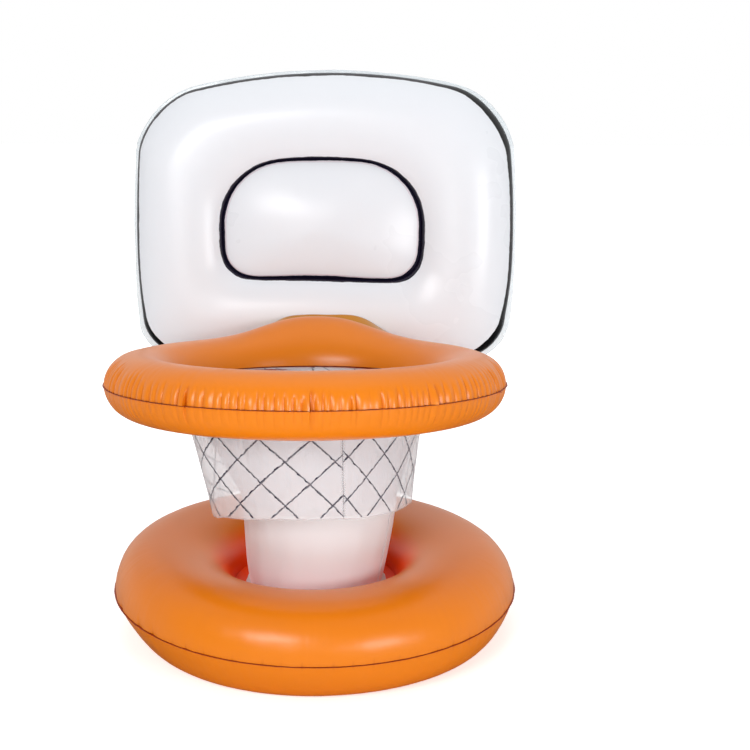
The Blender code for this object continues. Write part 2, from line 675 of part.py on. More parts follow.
def build():
    clear_scene()
    orange = make_material("orange_vinyl", (0.82, 0.19, 0.004), 0.32)
    seam_orange = make_material("orange_weld", (0.52, 0.09, 0.004), 0.4)
    white = make_material("white_vinyl", (0.82, 0.81, 0.84), 0.25)
    column_white = make_material("column_vinyl", (0.83, 0.76, 0.77), 0.4)
    clear = make_material("clear_vinyl", (0.78, 0.86, 0.92), 0.15, 0.5)
    frosted = make_material("frosted_vinyl", (0.84, 0.84, 0.85), 0.35, 0.6)
    valve_white = make_material("valve_vinyl", (0.85, 0.87, 0.88), 0.3, 0.8)

    root = make_frame("root_frame")
    base = make_frame("base_frame", root, Matrix.Translation((0.0, 0.0, BASE_SEAM_HEIGHT)))
    rim_centre = Matrix.Translation((0.0, 0.0, RIM_HEIGHT))
    level_rim = make_frame("level_rim_frame", root, rim_centre)
    rim = make_frame("rim_frame", root, rim_centre @ Matrix.Rotation(-RIM_LEAN, 4, "X"))
    board = make_frame("board_frame", rim, Matrix.Translation((0.0, BOARD_PLANE, -BOARD_DROP)))

    base_skin = build_base(base, orange, seam_orange)
    column = build_column(base, column_white, column_white)
    rim_skin = build_rim(rim, orange, seam_orange)
    build_tab(rim, orange)
    build_web(rim, clear)
    build_net(rim, frosted, frosted)
    build_funnel(level_rim, frosted)
    board_rear = build_board(board, white, clear)

    base_place = tube_place(BASE_RING_RADIUS, BASE_TUBE_RADIUS, BASE_TUBE_RADIUS, REAR, BASE_VALVE_ANGLE)
    build_valve("base_valve", base_skin, base, base_place, valve_white)
    wall = column_radius(COLUMN_VALVE_HEIGHT)
    column_place = tube_place(0.0, wall, wall, REAR, 0.0)
    column_lift = Matrix.Translation((0.0, 0.0, COLUMN_BASE + COLUMN_VALVE_HEIGHT))
    build_valve("column_valve", column, base, column_lift @ column_place, valve_white)
    rim_place = tube_place(
        RIM_RING_RADIUS, RIM_TUBE_RADIUS, RIM_TUBE_HALF_HEIGHT, RIM_VALVE_AZIMUTH, RIM_VALVE_ANGLE
    )
    build_valve("rim_valve", rim_skin, rim, rim_place, valve_white)
    border_middle = (BOARD_FLANGE_WIDTH + PANEL_BOTTOM) / 2
    board_lift = Matrix.Translation((0.0, board_front(border_middle), border_middle))
    board_place = board_lift @ Matrix.Rotation(-REAR, 4, "X")
    build_valve("board_valve", board_rear, board, board_place, valve_white)
    stand_on_floor(root)


build()
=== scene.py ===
import json
import math
import random

import bmesh
import bpy
from mathutils import Matrix, Vector, noise


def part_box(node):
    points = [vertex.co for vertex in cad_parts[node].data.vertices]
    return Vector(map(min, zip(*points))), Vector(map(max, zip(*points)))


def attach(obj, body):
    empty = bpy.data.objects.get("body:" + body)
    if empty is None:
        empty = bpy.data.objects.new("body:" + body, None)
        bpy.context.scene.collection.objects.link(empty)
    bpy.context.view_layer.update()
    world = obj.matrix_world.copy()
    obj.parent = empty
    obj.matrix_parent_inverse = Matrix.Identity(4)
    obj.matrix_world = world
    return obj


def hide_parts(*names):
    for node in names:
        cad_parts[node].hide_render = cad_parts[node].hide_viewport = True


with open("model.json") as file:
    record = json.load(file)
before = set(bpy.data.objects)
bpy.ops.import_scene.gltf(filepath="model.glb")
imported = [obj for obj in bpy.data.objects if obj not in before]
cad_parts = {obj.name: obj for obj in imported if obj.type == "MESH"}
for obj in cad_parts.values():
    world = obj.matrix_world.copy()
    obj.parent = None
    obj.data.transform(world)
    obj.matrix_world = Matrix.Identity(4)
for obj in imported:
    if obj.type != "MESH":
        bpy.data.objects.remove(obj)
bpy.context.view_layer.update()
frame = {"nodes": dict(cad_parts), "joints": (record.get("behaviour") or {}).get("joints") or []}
print("stage: frame loaded,", len(frame["nodes"]), "solids")

seamLow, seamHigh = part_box("base_outer_seam")
ringCentre = (seamLow + seamHigh) / 2  # middle of the base ring, at the height of its weld

stance = {
    "rimHeight": 0.3944,
    "rimLean": math.radians(8.0),
    "boardBack": 0.3485,  # from the rim's middle back to the board's weld
    "boardDrop": 0.006,
    "baseSway": 0.0046,  # the base and the board sit a little to the right
    "boardSway": 0.0015,
}
slit = 0.0007  # half the slit between two skins, which holds their weld
columnPlace = Matrix.Translation((0, ringCentre.y, ringCentre.z))
basePlace = columnPlace @ Matrix.Translation((stance["baseSway"], 0, 0))
rimLevel = Matrix.Translation((0, ringCentre.y, stance["rimHeight"]))
rimPlace = rimLevel @ Matrix.Rotation(-stance["rimLean"], 4, "X")
boardPlace = rimPlace @ Matrix.Translation((0, stance["boardBack"], -stance["boardDrop"]))
boardPlace = boardPlace @ Matrix.Translation((stance["boardSway"], 0, 0))


# shapes that several pieces share


mergeDistance = 0.00001


def sectionArc(centreRadius, centreHeight, across, rise, start, end, segments):
    # an oval arc in the section plane, as (distance from the axis, height)
    points = []
    for index in range(segments + 1):
        angle = start + (end - start) * index / segments
        points.append((centreRadius + across * math.cos(angle), centreHeight + rise * math.sin(angle)))
    return points


def spinSection(points, steps, closed=False):
    # a small turned part
    bm = bmesh.new()
    verts = [bm.verts.new((radius, 0, height)) for radius, height in points]
    edges = [bm.edges.new(pair) for pair in zip(verts, verts[1:])]
    if closed:
        edges.append(bm.edges.new((verts[-1], verts[0])))
    bmesh.ops.spin(
        bm, geom=verts + edges, axis=(0, 0, 1), cent=(0, 0, 0), angle=math.tau, steps=steps, use_merge=True,
    )
    bmesh.ops.remove_doubles(bm, verts=bm.verts, dist=mergeDistance)
    return bm


def wrapSection(points, steps, closed=False, start=0.0, sweep=math.tau):
    # a large ring: a flat grid wrapped round the axis, one row for each point of its section
    section = points + points[:1] if closed else points
    rows = len(section) - 1
    bm = bmesh.new()
    bmesh.ops.create_grid(bm, x_segments=steps, y_segments=rows, size=1)
    for vert in bm.verts:
        along, row = (vert.co.x + 1) / 2, round((vert.co.y + 1) / 2 * rows)
        angle = start + sweep * along
        radius, height = section[row]
        vert.co = Vector((radius * math.cos(angle), radius * math.sin(angle), height))
    bmesh.ops.remove_doubles(bm, verts=bm.verts, dist=mergeDistance)
    if closed and sweep < math.tau - 0.001:
        closeHoles(bm)
    return bm


def closeHoles(bm):
    bmesh.ops.holes_fill(bm, edges=[edge for edge in bm.edges if edge.is_boundary])


def azimuth(point):
    return math.atan2(point.y, point.x)


def turnBetween(angle, other):
    # how far round one angle lies from another, the short way
    return (angle - other + math.pi) % math.tau - math.pi


def moveOut(vert, distance):
    # away from the axis
    radius = vert.co.xy.length
    vert.co.x *= (radius + distance) / radius
    vert.co.y *= (radius + distance) / radius


def aroundNoise(angle, scale, seed):
    # noise that closes on itself round the axis
    return noise.noise(Vector((math.cos(angle) * scale, math.sin(angle) * scale, seed)))


def bell(distance, spread, power=2.0):
    return math.exp(-(abs(distance) / spread) ** power)


def finishPiece(name, bm, place, material, body, nodes, sharp=40):
    bmesh.ops.recalc_face_normals(bm, faces=bm.faces)
    bmesh.ops.transform(bm, matrix=place, verts=bm.verts)
    mesh = bpy.data.meshes.new(name)
    bm.to_mesh(mesh)
    bm.free()
    mesh.shade_smooth()
    mesh.set_sharp_from_angle(angle=math.radians(sharp))
    mesh.materials.append(material)
    piece = bpy.data.objects.new(name, mesh)
    bpy.context.scene.collection.objects.link(piece)
    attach(piece, body)
    if nodes:
        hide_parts(*nodes)
    return piece


def addModifier(piece, kind, **settings):
    modifier = piece.modifiers.new(kind.title(), kind)
    for key, value in settings.items():
        setattr(modifier, key, value)
    return modifier


def smoothStep(low, high, value):
    share = min(1.0, max(0.0, (value - low) / (high - low)))
    return share * share * (3 - 2 * share)


# vinyl and its finishes


def addNode(tree, kind, values=None, **settings):
    # a node whose inputs are set to a value, or joined to another node's output
    node = tree.nodes.new("ShaderNode" + kind)
    for key, value in settings.items():
        setattr(node, key, value)
    for key, value in (values or {}).items():
        if isinstance(value, bpy.types.NodeSocket):
            tree.links.new(value, node.inputs[key])
        else:
            node.inputs[key].default_value = value
    return node


def maths(tree, operation, first, second=None, clamp=False):
    values = {0: first} if second is None else {0: first, 1: second}
    return addNode(tree, "Math", values, operation=operation, use_clamp=clamp).outputs[0]


def mapRange(tree, value, low, high, bottom, top, **settings):
    values = {"Value": value, "From Min": low, "From Max": high, "To Min": bottom, "To Max": top}
    return addNode(tree, "MapRange", values, **settings).outputs["Result"]


def noiseShare(tree, place, scale, detail):
    return addNode(tree, "TexNoise", {"Vector": place, "Scale": scale, "Detail": detail}).outputs["Fac"]


def readMark(tree, attribute):
    return addNode(tree, "Attribute", attribute_name=attribute).outputs["Fac"]


mixFirst, mixSecond, mixColour = 6, 7, 2  # a Mix node's two colours and its mixed colour
mixLow, mixHigh, mixNumber = 2, 3, 0  # and the same for plain numbers


def mixColours(tree, share, first, second):
    values = {"Factor": share, mixFirst: first, mixSecond: second}
    return addNode(tree, "Mix", values, data_type="RGBA").outputs[mixColour]


def buildVinylGroup():
    # colour and gloss that drift a little, and a fine grain, for every vinyl on the toy
    group = bpy.data.node_groups.new("vinylSkin", "ShaderNodeTree")
    for name, kind, value in (
        ("Colour", "Color", (0.8, 0.8, 0.8, 1)), ("Drift Colour", "Color", (0.7, 0.7, 0.7, 1)),
        ("Drift Scale", "Float", 6.0), ("Gloss Low", "Float", 0.25), ("Gloss High", "Float", 0.35),
        ("Grain", "Float", 0.02),
    ):
        socket = group.interface.new_socket(name=name, in_out="INPUT", socket_type="NodeSocket" + kind)
        socket.default_value = value
    for name, kind in (("Colour", "Color"), ("Roughness", "Float"), ("Normal", "Vector")):
        group.interface.new_socket(name=name, in_out="OUTPUT", socket_type="NodeSocket" + kind)
    start = group.nodes.new("NodeGroupInput").outputs
    end = group.nodes.new("NodeGroupOutput").inputs
    place = addNode(group, "TexCoord").outputs["Object"]
    drift = noiseShare(group, place, start["Drift Scale"], 3)
    colour = mixColours(group, drift, start["Colour"], start["Drift Colour"])
    gloss = addNode(group, "Mix", {"Factor": drift, mixLow: start["Gloss Low"], mixHigh: start["Gloss High"]})
    grain = noiseShare(group, place, 900, 2)
    bump = addNode(group, "Bump", {"Height": grain, "Strength": start["Grain"], "Distance": 0.0002})
    group.links.new(colour, end["Colour"])
    group.links.new(gloss.outputs[mixNumber], end["Roughness"])
    group.links.new(bump.outputs["Normal"], end["Normal"])
    return group


vinylSkin = buildVinylGroup()


def vinyl(name, colour, drift, gloss=(0.26, 0.34), scale=6.0, grain=0.04, specular=0.5, alpha=1.0):
    material = bpy.data.materials.new(name)
    material.use_nodes = True
    tree = material.node_tree
    shader = tree.nodes["Principled BSDF"].inputs
    skin = addNode(tree, "Group", node_tree=vinylSkin, name="skin")
    for socket, value in (
        ("Colour", (*colour, 1)), ("Drift Colour", (*drift, 1)), ("Drift Scale", scale),
        ("Gloss Low", gloss[0]), ("Gloss High", gloss[1]), ("Grain", grain),
    ):
        skin.inputs[socket].default_value = value
    for output, socket in (("Colour", "Base Color"), ("Roughness", "Roughness"), ("Normal", "Normal")):
        tree.links.new(skin.outputs[output], shader[socket])
    shader["Specular IOR Level"].default_value = specular
    shader["Alpha"].default_value = alpha
    return material


def lineMask(tree, distance, halfWidth, softness):
    # 1 on the line, 0 beyond it
    fixed = isinstance(halfWidth, float)
    outer = halfWidth + softness if fixed else maths(tree, "ADD", halfWidth, softness)
    return mapRange(tree, distance, halfWidth, outer, 1, 0, interpolation_type="SMOOTHSTEP")


def paintOver(tree, mask, colour):
    # lays a printed colour over what feeds the base colour so far
    base = tree.nodes["Principled BSDF"].inputs["Base Color"]
    tree.links.new(mixColours(tree, mask, base.links[0].from_socket, (*colour, 1)), base)


def paintMark(tree, attribute, strength, colour):
    # a colour laid where a piece's own attribute says so
    paintOver(tree, maths(tree, "MULTIPLY", readMark(tree, attribute), strength, True), colour)


finishes = {
    "orange": {"colour": (0.79, 0.208, 0.0008), "drift": (0.75, 0.188, 0.0008), "gloss": (0.29, 0.35)},
    "amber": {"colour": (0.60, 0.25, 0.015), "drift": (0.50, 0.18, 0.010)},
    # painted shade: the outer welds' flanges are darkened to stand in for the shadow along their edges
    "weldOrange": {"colour": (0.38, 0.040, 0.003), "drift": (0.24, 0.020, 0.002), "gloss": (0.4, 0.5)},
    # painted shade: the inner welds' flanges in dark red, standing in for the shade where they lie
    "weldRed": {"colour": (0.33, 0.012, 0.002), "drift": (0.20, 0.006, 0.002), "gloss": (0.35, 0.5)},
    # painted shade and glow: a bright deep red that stands in for light through several layers of vinyl in
    # the well
    "deepRed": {"colour": (0.98, 0.075, 0.001), "drift": (0.95, 0.055, 0.001), "specular": 0.25},
    "columnWhite": {"colour": (0.80, 0.81, 0.835), "drift": (0.82, 0.83, 0.85), "gloss": (0.36, 0.44)},
    "boardWhite": {
        "colour": (0.79, 0.815, 0.86), "drift": (0.81, 0.83, 0.87), "gloss": (0.25, 0.31), "specular": 0.4,
    },
    "clear": {
        "colour": (0.80, 0.88, 0.93), "drift": (0.86, 0.92, 0.95), "gloss": (0.12, 0.2), "alpha": 0.55,
    },
    "frosted": {"colour": (0.84, 0.84, 0.87), "drift": (0.86, 0.86, 0.885), "gloss": (0.3, 0.4)},
    "valveClear": {
        "colour": (0.80, 0.83, 0.85), "drift": (0.85, 0.88, 0.90), "gloss": (0.2, 0.3), "alpha": 0.85,
    },
}
# painted shade: a darker orange in the pleats' creases, and a deep red in the base's well
paintedShadeTints = {"crease": (0.52, 0.085, 0.001), "creaseStrength": 0.5, "wellStrength": 1.0}
sheen = {"Sheen Weight": 1.0, "Sheen Roughness": 0.45, "Sheen Tint": (1, 0.90, 0.91, 1)}
orangeVinyl = vinyl("orangeVinyl", **finishes["orange"])
# painted shade in the creases of the pleats and pinches
paintMark(orangeVinyl.node_tree, "crease", paintedShadeTints["creaseStrength"], paintedShadeTints["crease"])
# painted shade and glow where the skin turns down into the base's well
paintMark(orangeVinyl.node_tree, "wellShade", paintedShadeTints["wellStrength"], finishes["deepRed"]["colour"])
amberVinyl = vinyl("amberVinyl", **finishes["amber"])
# painted shade and glow: the floor sheet's vinyl takes the well's deep red
deepRedVinyl = vinyl("deepRedVinyl", **finishes["deepRed"])
weldOrange = vinyl("weldOrange", **finishes["weldOrange"])
weldRed = vinyl("weldRed", **finishes["weldRed"])
columnVinyl = vinyl("columnVinyl", **finishes["columnWhite"])
for socketName, sheenValue in sheen.items():
    columnVinyl.node_tree.nodes["Principled BSDF"].inputs[socketName].default_value = sheenValue
clearVinyl = vinyl("clearVinyl", **finishes["clear"])
valveVinyl = vinyl("valveVinyl", **finishes["valveClear"])
print("stage: vinyls mixed")


# pleats where a ring is welded


pleat = {  # shares of a crease's own measures, unless said otherwise
    "depthSpread": (0.5, 1.25),
    "reachSpread": (0.8, 1.2),
    "spacingSpread": (0.68, 1.35),
    "fadeFrom": 0.45,  # as a share of its reach
    "pinchSlope": 0.3,
    "pinchRim": 0.002,
    "shadeAt": 0.12,
    "shadeSpread": 0.22,
    "drawnTo": math.radians(110),  # how far round the tube from its weld
    "fineScale": (34, 14),
    "slowScale": (9, 30),
    "wanderFade": (0.8, 1.7),
}


def makePleats(spec):
    # creases round the weld, unevenly spaced; they stand taller at the left and right
    chance = random.Random(spec["seed"])
    angle = 0.0
    creases = []
    while angle < math.tau - spec["spacing"] * 0.5:
        depth = spec["depth"] * chance.uniform(*pleat["depthSpread"])
        reach = spec["reach"] * chance.uniform(*pleat["reachSpread"])
        reach *= 1 + spec["sideReach"] * abs(math.cos(angle)) ** 4
        creases.append([angle, depth, reach])
        angle += spec["spacing"] * chance.uniform(*pleat["spacingSpread"])
    for degrees, depth, reach in spec["folds"]:
        at = math.radians(degrees) % math.tau
        nearest = min(creases, key=lambda crease: abs(turnBetween(crease[0], at)))
        nearest[0], nearest[1], nearest[2] = at, depth, reach
    creases.sort()
    return creases


def neighbours(creases, angle):
    # the crease on each side of an angle, with how far off it is
    angle %= math.tau
    low, high = 0, len(creases)
    while low < high:
        middle = (low + high) // 2
        if creases[middle][0] <= angle:
            low = middle + 1
        else:
            high = middle
    before, after = creases[low - 1], creases[low % len(creases)]
    return (before, (angle - before[0]) % math.tau), (after, (after[0] - angle) % math.tau)


def pleatDepth(spec, creases, angle, rise):
    # how far the skin is drawn in, and how much painted shade the crease gets there
    pair = neighbours(creases, angle)
    span = pair[0][1] + pair[1][1]
    scallop = 1 - math.sin(math.pi * pair[0][1] / span)  # round between two creases and sharp at each
    depth, dark = 0.0, 0.0
    for (_, most, reach), away in pair:
        fade = 1 - smoothStep(pleat["fadeFrom"], 1.0, rise / reach)
        depth += most * fade * scallop * (1 - away / span)
        dark = max(dark, fade * bell(away, spec["halfWidth"]) * min(1.0, most / spec["depth"]))
    return depth, dark


def pinchShape(spec, angle, rise):
    # a pinched triangle: it swells towards one edge and drops sharply beyond it
    depth, dark = 0.0, 0.0
    for degrees, width, reach in spec["pinches"]:
        off = turnBetween(angle, math.radians(degrees))
        taper = max(0.0, 1 - rise / reach)
        if taper == 0 or abs(off) > 2 * width:
            continue
        if off <= 0:
            depth -= spec["pinchRise"] * taper * max(0.0, 1 + off / (width * taper + pleat["pinchRim"]))
        else:
            depth += spec["pinchRise"] * taper * math.exp(-off / (pleat["pinchSlope"] * width))
            # painted shade along the sharp edge of the pinch
            shade = bell(off - pleat["shadeAt"] * width, pleat["shadeSpread"] * width)
            dark = max(dark, shade * smoothStep(0, 0.15, taper))
    return depth, dark


def drawIn(bm, spec, creases, ring, across, tall, strength=1.0):
    # pleats at the outer weld, along the tube's own normal
    # the crease layer holds how much painted shade each point gets
    marks = bm.verts.layers.float.new("crease")
    for vert in bm.verts:
        radius = vert.co.xy.length
        angle = azimuth(vert.co)
        rise = math.atan2(abs(vert.co.z) / tall, (radius - ring) / across)
        if rise > pleat["drawnTo"]:
            continue
        depth, dark = pleatDepth(spec, creases, angle, rise)
        pinched, pinchDark = pinchShape(spec, angle, rise)
        wrinkle = aroundNoise(angle, pleat["fineScale"][0], vert.co.z * pleat["fineScale"][1])
        slow = aroundNoise(angle, pleat["slowScale"][0], vert.co.z * pleat["slowScale"][1])
        low = 1.0 if vert.co.z > 0 else spec["lowWrinkle"]
        depth = strength * (depth + pinched)
        waver = spec["wander"] * slow + spec["wrinkle"] * low * wrinkle
        depth += waver * (1 - smoothStep(*pleat["wanderFade"], rise))
        vert[marks] = strength * max(dark, pinchDark)
        moveOut(vert, -depth * math.cos(rise))
        vert.co.z -= math.copysign(depth * math.sin(rise), vert.co.z)


# base ring


baseRing = {
    "outerRadius": 0.3100,
    "tube": 0.0725,
    "innerReach": 0.1100,  # the tube leans in towards the column
    "flatDepth": 0.0022,
    "lowerIn": 0.19,
    "lowerUp": -0.01,
    "crownSag": 0.0020,
    "crownSagRear": 0.0080,  # more of it towards the back
    "settle": 0.06,
    "settleFrom": (0.14, 0.30),
    "rightSwell": 0.0108,
    "swellAzimuth": math.radians(-38),
    "swellSpread": math.radians(34),
    "wellFrom": (0.60, 0.98),  # shares of the way in to the hole
    "outerWeld": (0.0017, -0.008),  # how far a weld stands out, and how far it bites in
    "innerWeld": (-0.006, 0.008),
    "sheetGap": 0.0006,
    "sheetTop": 0.0017,
    "sheetBottom": 0.0007,
    "steps": 960,
    "segments": 26,
    "pleats": {
        "seed": 11, "spacing": math.radians(6.5), "depth": 0.0004, "reach": math.radians(7),
        "lowShare": 0.8, "sideReach": 0.3, "halfWidth": math.radians(0.25), "wander": 0.0005,
        "wrinkle": 0.0002, "lowWrinkle": 1.6, "pinches": [], "pinchRise": 0.0,
        "folds": [  # degrees, depth, reach
            (-156, 0.0016, 0.16), (-143, 0.0018, 0.16), (-136, 0.0018, 0.16), (-123, 0.0014, 0.14),
            (-47, 0.0010, 0.14),
        ],
    },
}


def reachIn(points, ring, spec):
    # the side that faces the hole reaches farther in than the tube is thick
    share = spec["innerReach"] / spec["tube"]
    reached = []
    for radius, height in points:
        reached.append((ring - (ring - radius) * share if radius < ring else radius, height))
    return reached


def flattenBelow(points, ring, spec):
    # under its weight the lower skin is drawn in a little below the weld
    fuller = []
    for radius, height in points:
        turn = math.atan2(-height, radius - ring)
        lean = math.sin(2 * turn)
        across = (radius - ring) * (1 - spec["lowerIn"] * lean)
        fuller.append((ring + across, height * (1 - spec["lowerUp"] * lean)))
    return fuller


def settleBase(bm):
    # the right half lies a little lower, and fuller below its weld, and the left half a little higher
    spec = baseRing
    ring = spec["outerRadius"] - spec["tube"]
    ground = spec["tube"] - spec["flatDepth"]
    for vert in bm.verts:
        radius = vert.co.xy.length
        outward = smoothStep(*spec["settleFrom"], radius)
        turn = math.atan2(-vert.co.z, radius - ring)
        if outward > 0 and 0 < turn < math.pi / 2:
            swell = bell(azimuth(vert.co) - spec["swellAzimuth"], spec["swellSpread"])
            moveOut(vert, spec["rightSwell"] * swell * math.sin(2 * turn))
        height = vert.co.z + ground
        vert.co.z = height * (1 - spec["settle"] * outward * vert.co.x / spec["outerRadius"]) - ground


def shadeWell(bm, ring, spec):
    # painted shade and glow: deep red where the skin turns down into the well, standing in for the light that
    # comes through several layers there
    shade = bm.verts.layers.float.new("wellShade")
    for vert in bm.verts:
        inward = (ring - vert.co.xy.length) / spec["innerReach"]
        vert[shade] = smoothStep(*spec["wellFrom"], inward)


def sagCrown(bm, spec):
    for vert in bm.verts:
        toRear = smoothStep(-0.3, 0.9, vert.co.y / vert.co.xy.length)
        sag = spec["crownSag"] + spec["crownSagRear"] * toRear
        vert.co.z -= sag * (vert.co.z / spec["tube"]) ** 6


def finishBaseSkin(name, bm, ring, node):
    settleBase(bm)
    shadeWell(bm, ring, baseRing)
    piece = finishPiece(name, bm, basePlace, orangeVinyl, "toy", [node])


def buildBaseRing():
    spec = baseRing
    tube, pleats = spec["tube"], spec["pleats"]
    ring = spec["outerRadius"] - tube
    hole = ring - spec["innerReach"]
    lift = math.asin(slit / tube)
    creases = makePleats(pleats)

    top = reachIn(sectionArc(ring, 0, tube, tube, lift, math.pi - lift, spec["segments"]), ring, spec)
    upper = wrapSection(top, spec["steps"], True)
    drawIn(upper, pleats, creases, ring, tube, tube)
    sagCrown(upper, spec)
    finishBaseSkin("baseUpperSkin", upper, ring, "base_upper_skin")

    flat = math.asin((tube - spec["flatDepth"]) / tube)
    half = spec["segments"] // 2
    outer = flattenBelow(sectionArc(ring, 0, tube, tube, -lift, -flat, half), ring, spec)
    inner = sectionArc(ring, 0, tube, tube, flat - math.pi, lift - math.pi, half)
    lower = wrapSection(outer + reachIn(inner, ring, spec), spec["steps"], True)
    drawIn(lower, pleats, creases, ring, tube, tube, pleats["lowShare"])
    finishBaseSkin("baseLowerSkin", lower, ring, "base_lower_skin")

    # painted shade along the outer weld's edge
    weldRing(
        "baseOuterWeld", basePlace, spec["outerRadius"], *spec["outerWeld"], weldOrange, creases, pleats,
        "base_outer_seam", 21, shape=settleBase,
    )
    # painted shade on the inner weld, which lies in the well
    weldRing(
        "baseInnerWeld", basePlace, hole, *spec["innerWeld"], weldRed, None, pleats, "base_inner_seam", 22,
    )

    sheetRadius = hole - spec["sheetGap"]
    sheet = spinSection([(sheetRadius, spec["sheetBottom"]), (sheetRadius, spec["sheetTop"])], 96)
    closeHoles(sheet)
    discs = [face for face in sheet.faces if len(face.verts) > 4]
    bmesh.ops.inset_region(sheet, faces=discs, thickness=0.02)
    # painted shade: the floor sheet is coloured the well's deep red, standing in for the shade and glow deep
    # inside it
    piece = finishPiece(
        "baseFloorSheet", sheet, basePlace, deepRedVinyl, "toy", ["base_floor_sheet"],
    )


weld = {
    "half": 0.0003,  # of its thickness
    "steps": 960,
    "waver": ((0.0005, 14), (0.0004, 60)),  # depth, and how often round the ring
    "creaseShare": 0.2,
    "edgeBand": 0.001,
    "droopRoot": 0.25,
    "droopWaver": (0.35, 40),
    "nubSpread": math.radians(0.7),
}


def weldRing(
    name, place, radius, reach, bite, material, creases, pleats, node, seed, nub=None, droop=0.0, shape=None,
):
    # the flange of a weld, a little uneven at its edge, with the pleats' creases in it
    half = weld["half"]
    edge = radius + reach
    section = [
        (edge, -half - droop), (edge + math.copysign(half, reach), -droop), (edge, half - droop),
        (radius, half - weld["droopRoot"] * droop), (radius + bite, half), (radius + bite, -half),
        (radius, -half - weld["droopRoot"] * droop),
    ]
    bm = wrapSection(section, weld["steps"], True)
    for vert in bm.verts:
        if abs(vert.co.xy.length - edge) > weld["edgeBand"]:
            continue
        angle = azimuth(vert.co)
        wobble = sum(depth * aroundNoise(angle, scale, seed) for depth, scale in weld["waver"])
        if creases:
            wobble -= weld["creaseShare"] * pleatDepth(pleats, creases, angle, 0)[0]
        if nub:
            wobble += nub[1] * bell(angle - math.radians(nub[0]), weld["nubSpread"])
        moveOut(vert, wobble)
        share, scale = weld["droopWaver"]
        vert.co.z += share * droop * aroundNoise(angle, scale, seed + 0.5)
    if shape:
        shape(bm)
    finishPiece(name, bm, place, material, "toy", [node])


buildBaseRing()
print("stage: base ring built")


# column


column = {
    "base": 0.0031,
    "bottomRadius": 0.1035,
    "topRadius": 0.1218,
    "height": 0.1620,
    "foot": 0.0040,
    "shoulder": 0.0090,
    "flangeReach": 0.0055,
    "flangeBase": 0.0020,
    "flangeBite": 0.0110,
    "flangeThickness": 0.0008,
    "belly": 0.0012,
    "waver": 0.0011,
    "footPucker": 0.0016,
    "footPinch": 0.0012,
    "puckerHeight": 0.006,
    "puckerSpread": 0.016,
    "wallFrom": 0.08,  # inside this radius the two ends stay flat
    "flangeWaver": 0.0012,
    "footShift": 0.0056,  # it sits a little to the right, and more so higher up
    "headShift": 0.0120,
    "shiftRise": 0.14,
    "discGap": 0.0003,
    "discThickness": 0.0008,
    "seamAzimuth": math.radians(-22.0),
    "seamWidth": 0.0050,
    "seamFoot": 0.014,
    "seamHead": 0.130,
    "seamLift": 0.0004,
    "seamThickness": 0.0008,
    "steps": 240,
}


def columnRadius(height):
    share = height / column["height"]
    return column["bottomRadius"] + (column["topRadius"] - column["bottomRadius"]) * share


def columnWallRadius(height):
    return columnRadius(height) + column["belly"] * math.sin(math.pi * height / column["height"])


def columnShift(height):
    further = column["headShift"] - column["footShift"]
    return column["footShift"] + further * smoothStep(0, column["shiftRise"], height)


def leanColumn(bm):
    for vert in bm.verts:
        vert.co.x += columnShift(vert.co.z)


def buildColumn():
    spec = column
    footRound, shoulder = spec["foot"], spec["shoulder"]
    top = spec["height"] - shoulder
    foot = sectionArc(columnRadius(0) - footRound, footRound, footRound, footRound, -math.pi / 2, 0, 4)
    wall = []
    for index in range(1, 26):
        height = footRound + (top - footRound) * index / 26
        wall.append((columnWallRadius(height), height))
    head = sectionArc(columnRadius(top) - shoulder, top, shoulder, shoulder, 0, math.pi / 2, 8)
    bm = wrapSection([(0.0, 0.0)] + foot + wall + head + [(0.0, spec["height"])], spec["steps"])
    for vert in bm.verts:
        if vert.co.xy.length < spec["wallFrom"]:
            continue
        angle = azimuth(vert.co)
        nearFoot = bell(vert.co.z - spec["puckerHeight"], spec["puckerSpread"])
        pucker = spec["footPucker"] * aroundNoise(angle, 16, 7.7) - spec["footPinch"]
        moveOut(vert, spec["waver"] * aroundNoise(angle, 5, vert.co.z * 12) + nearFoot * pucker)
    bmesh.ops.translate(bm, verts=bm.verts, vec=(0, 0, spec["base"]))
    leanColumn(bm)
    piece = finishPiece("columnWall", bm, columnPlace, columnVinyl, "toy", ["column_body"])

    edge = spec["bottomRadius"] + spec["flangeReach"]
    bite = spec["bottomRadius"] - spec["flangeBite"]
    low = spec["flangeBase"]
    high = low + spec["flangeThickness"]
    section = [(bite, low), (edge, low), (edge + 0.0004, low + 0.0004), (edge, high), (bite, high)]
    flange = wrapSection(section, spec["steps"], True)
    for vert in flange.verts:
        if vert.co.xy.length > spec["bottomRadius"]:
            moveOut(vert, spec["flangeWaver"] * aroundNoise(azimuth(vert.co), 9, 1.3))
    leanColumn(flange)
    finishPiece(
        "columnFootFlange", flange, columnPlace, columnVinyl, "toy", ["column_foot_flange"],
    )

    discRadius = columnRadius(top) - shoulder
    discBase = spec["base"] + spec["height"] + spec["discGap"]
    disc = spinSection([(discRadius, discBase), (discRadius, discBase + spec["discThickness"])], 96)
    closeHoles(disc)
    leanColumn(disc)
    piece = finishPiece(
        "columnTopDisc", disc, columnPlace, columnVinyl, "toy", ["column_top_disc"],
    )

    inside = []
    for index in range(25):
        height = spec["seamFoot"] + (spec["seamHead"] - spec["seamFoot"]) * index / 24
        inside.append((columnWallRadius(height) + spec["seamLift"], height + spec["base"]))
    outside = [(radius + spec["seamThickness"], height) for radius, height in inside]
    sweep = spec["seamWidth"] / spec["bottomRadius"]
    strip = wrapSection(inside + outside[::-1], 6, True, spec["seamAzimuth"] - sweep / 2, sweep)
    leanColumn(strip)
    finishPiece(
        "columnSideWeld", strip, columnPlace, columnVinyl, "toy", ["column_side_seam"],
    )


buildColumn()
print("stage: column built")


# rim with its raised seat


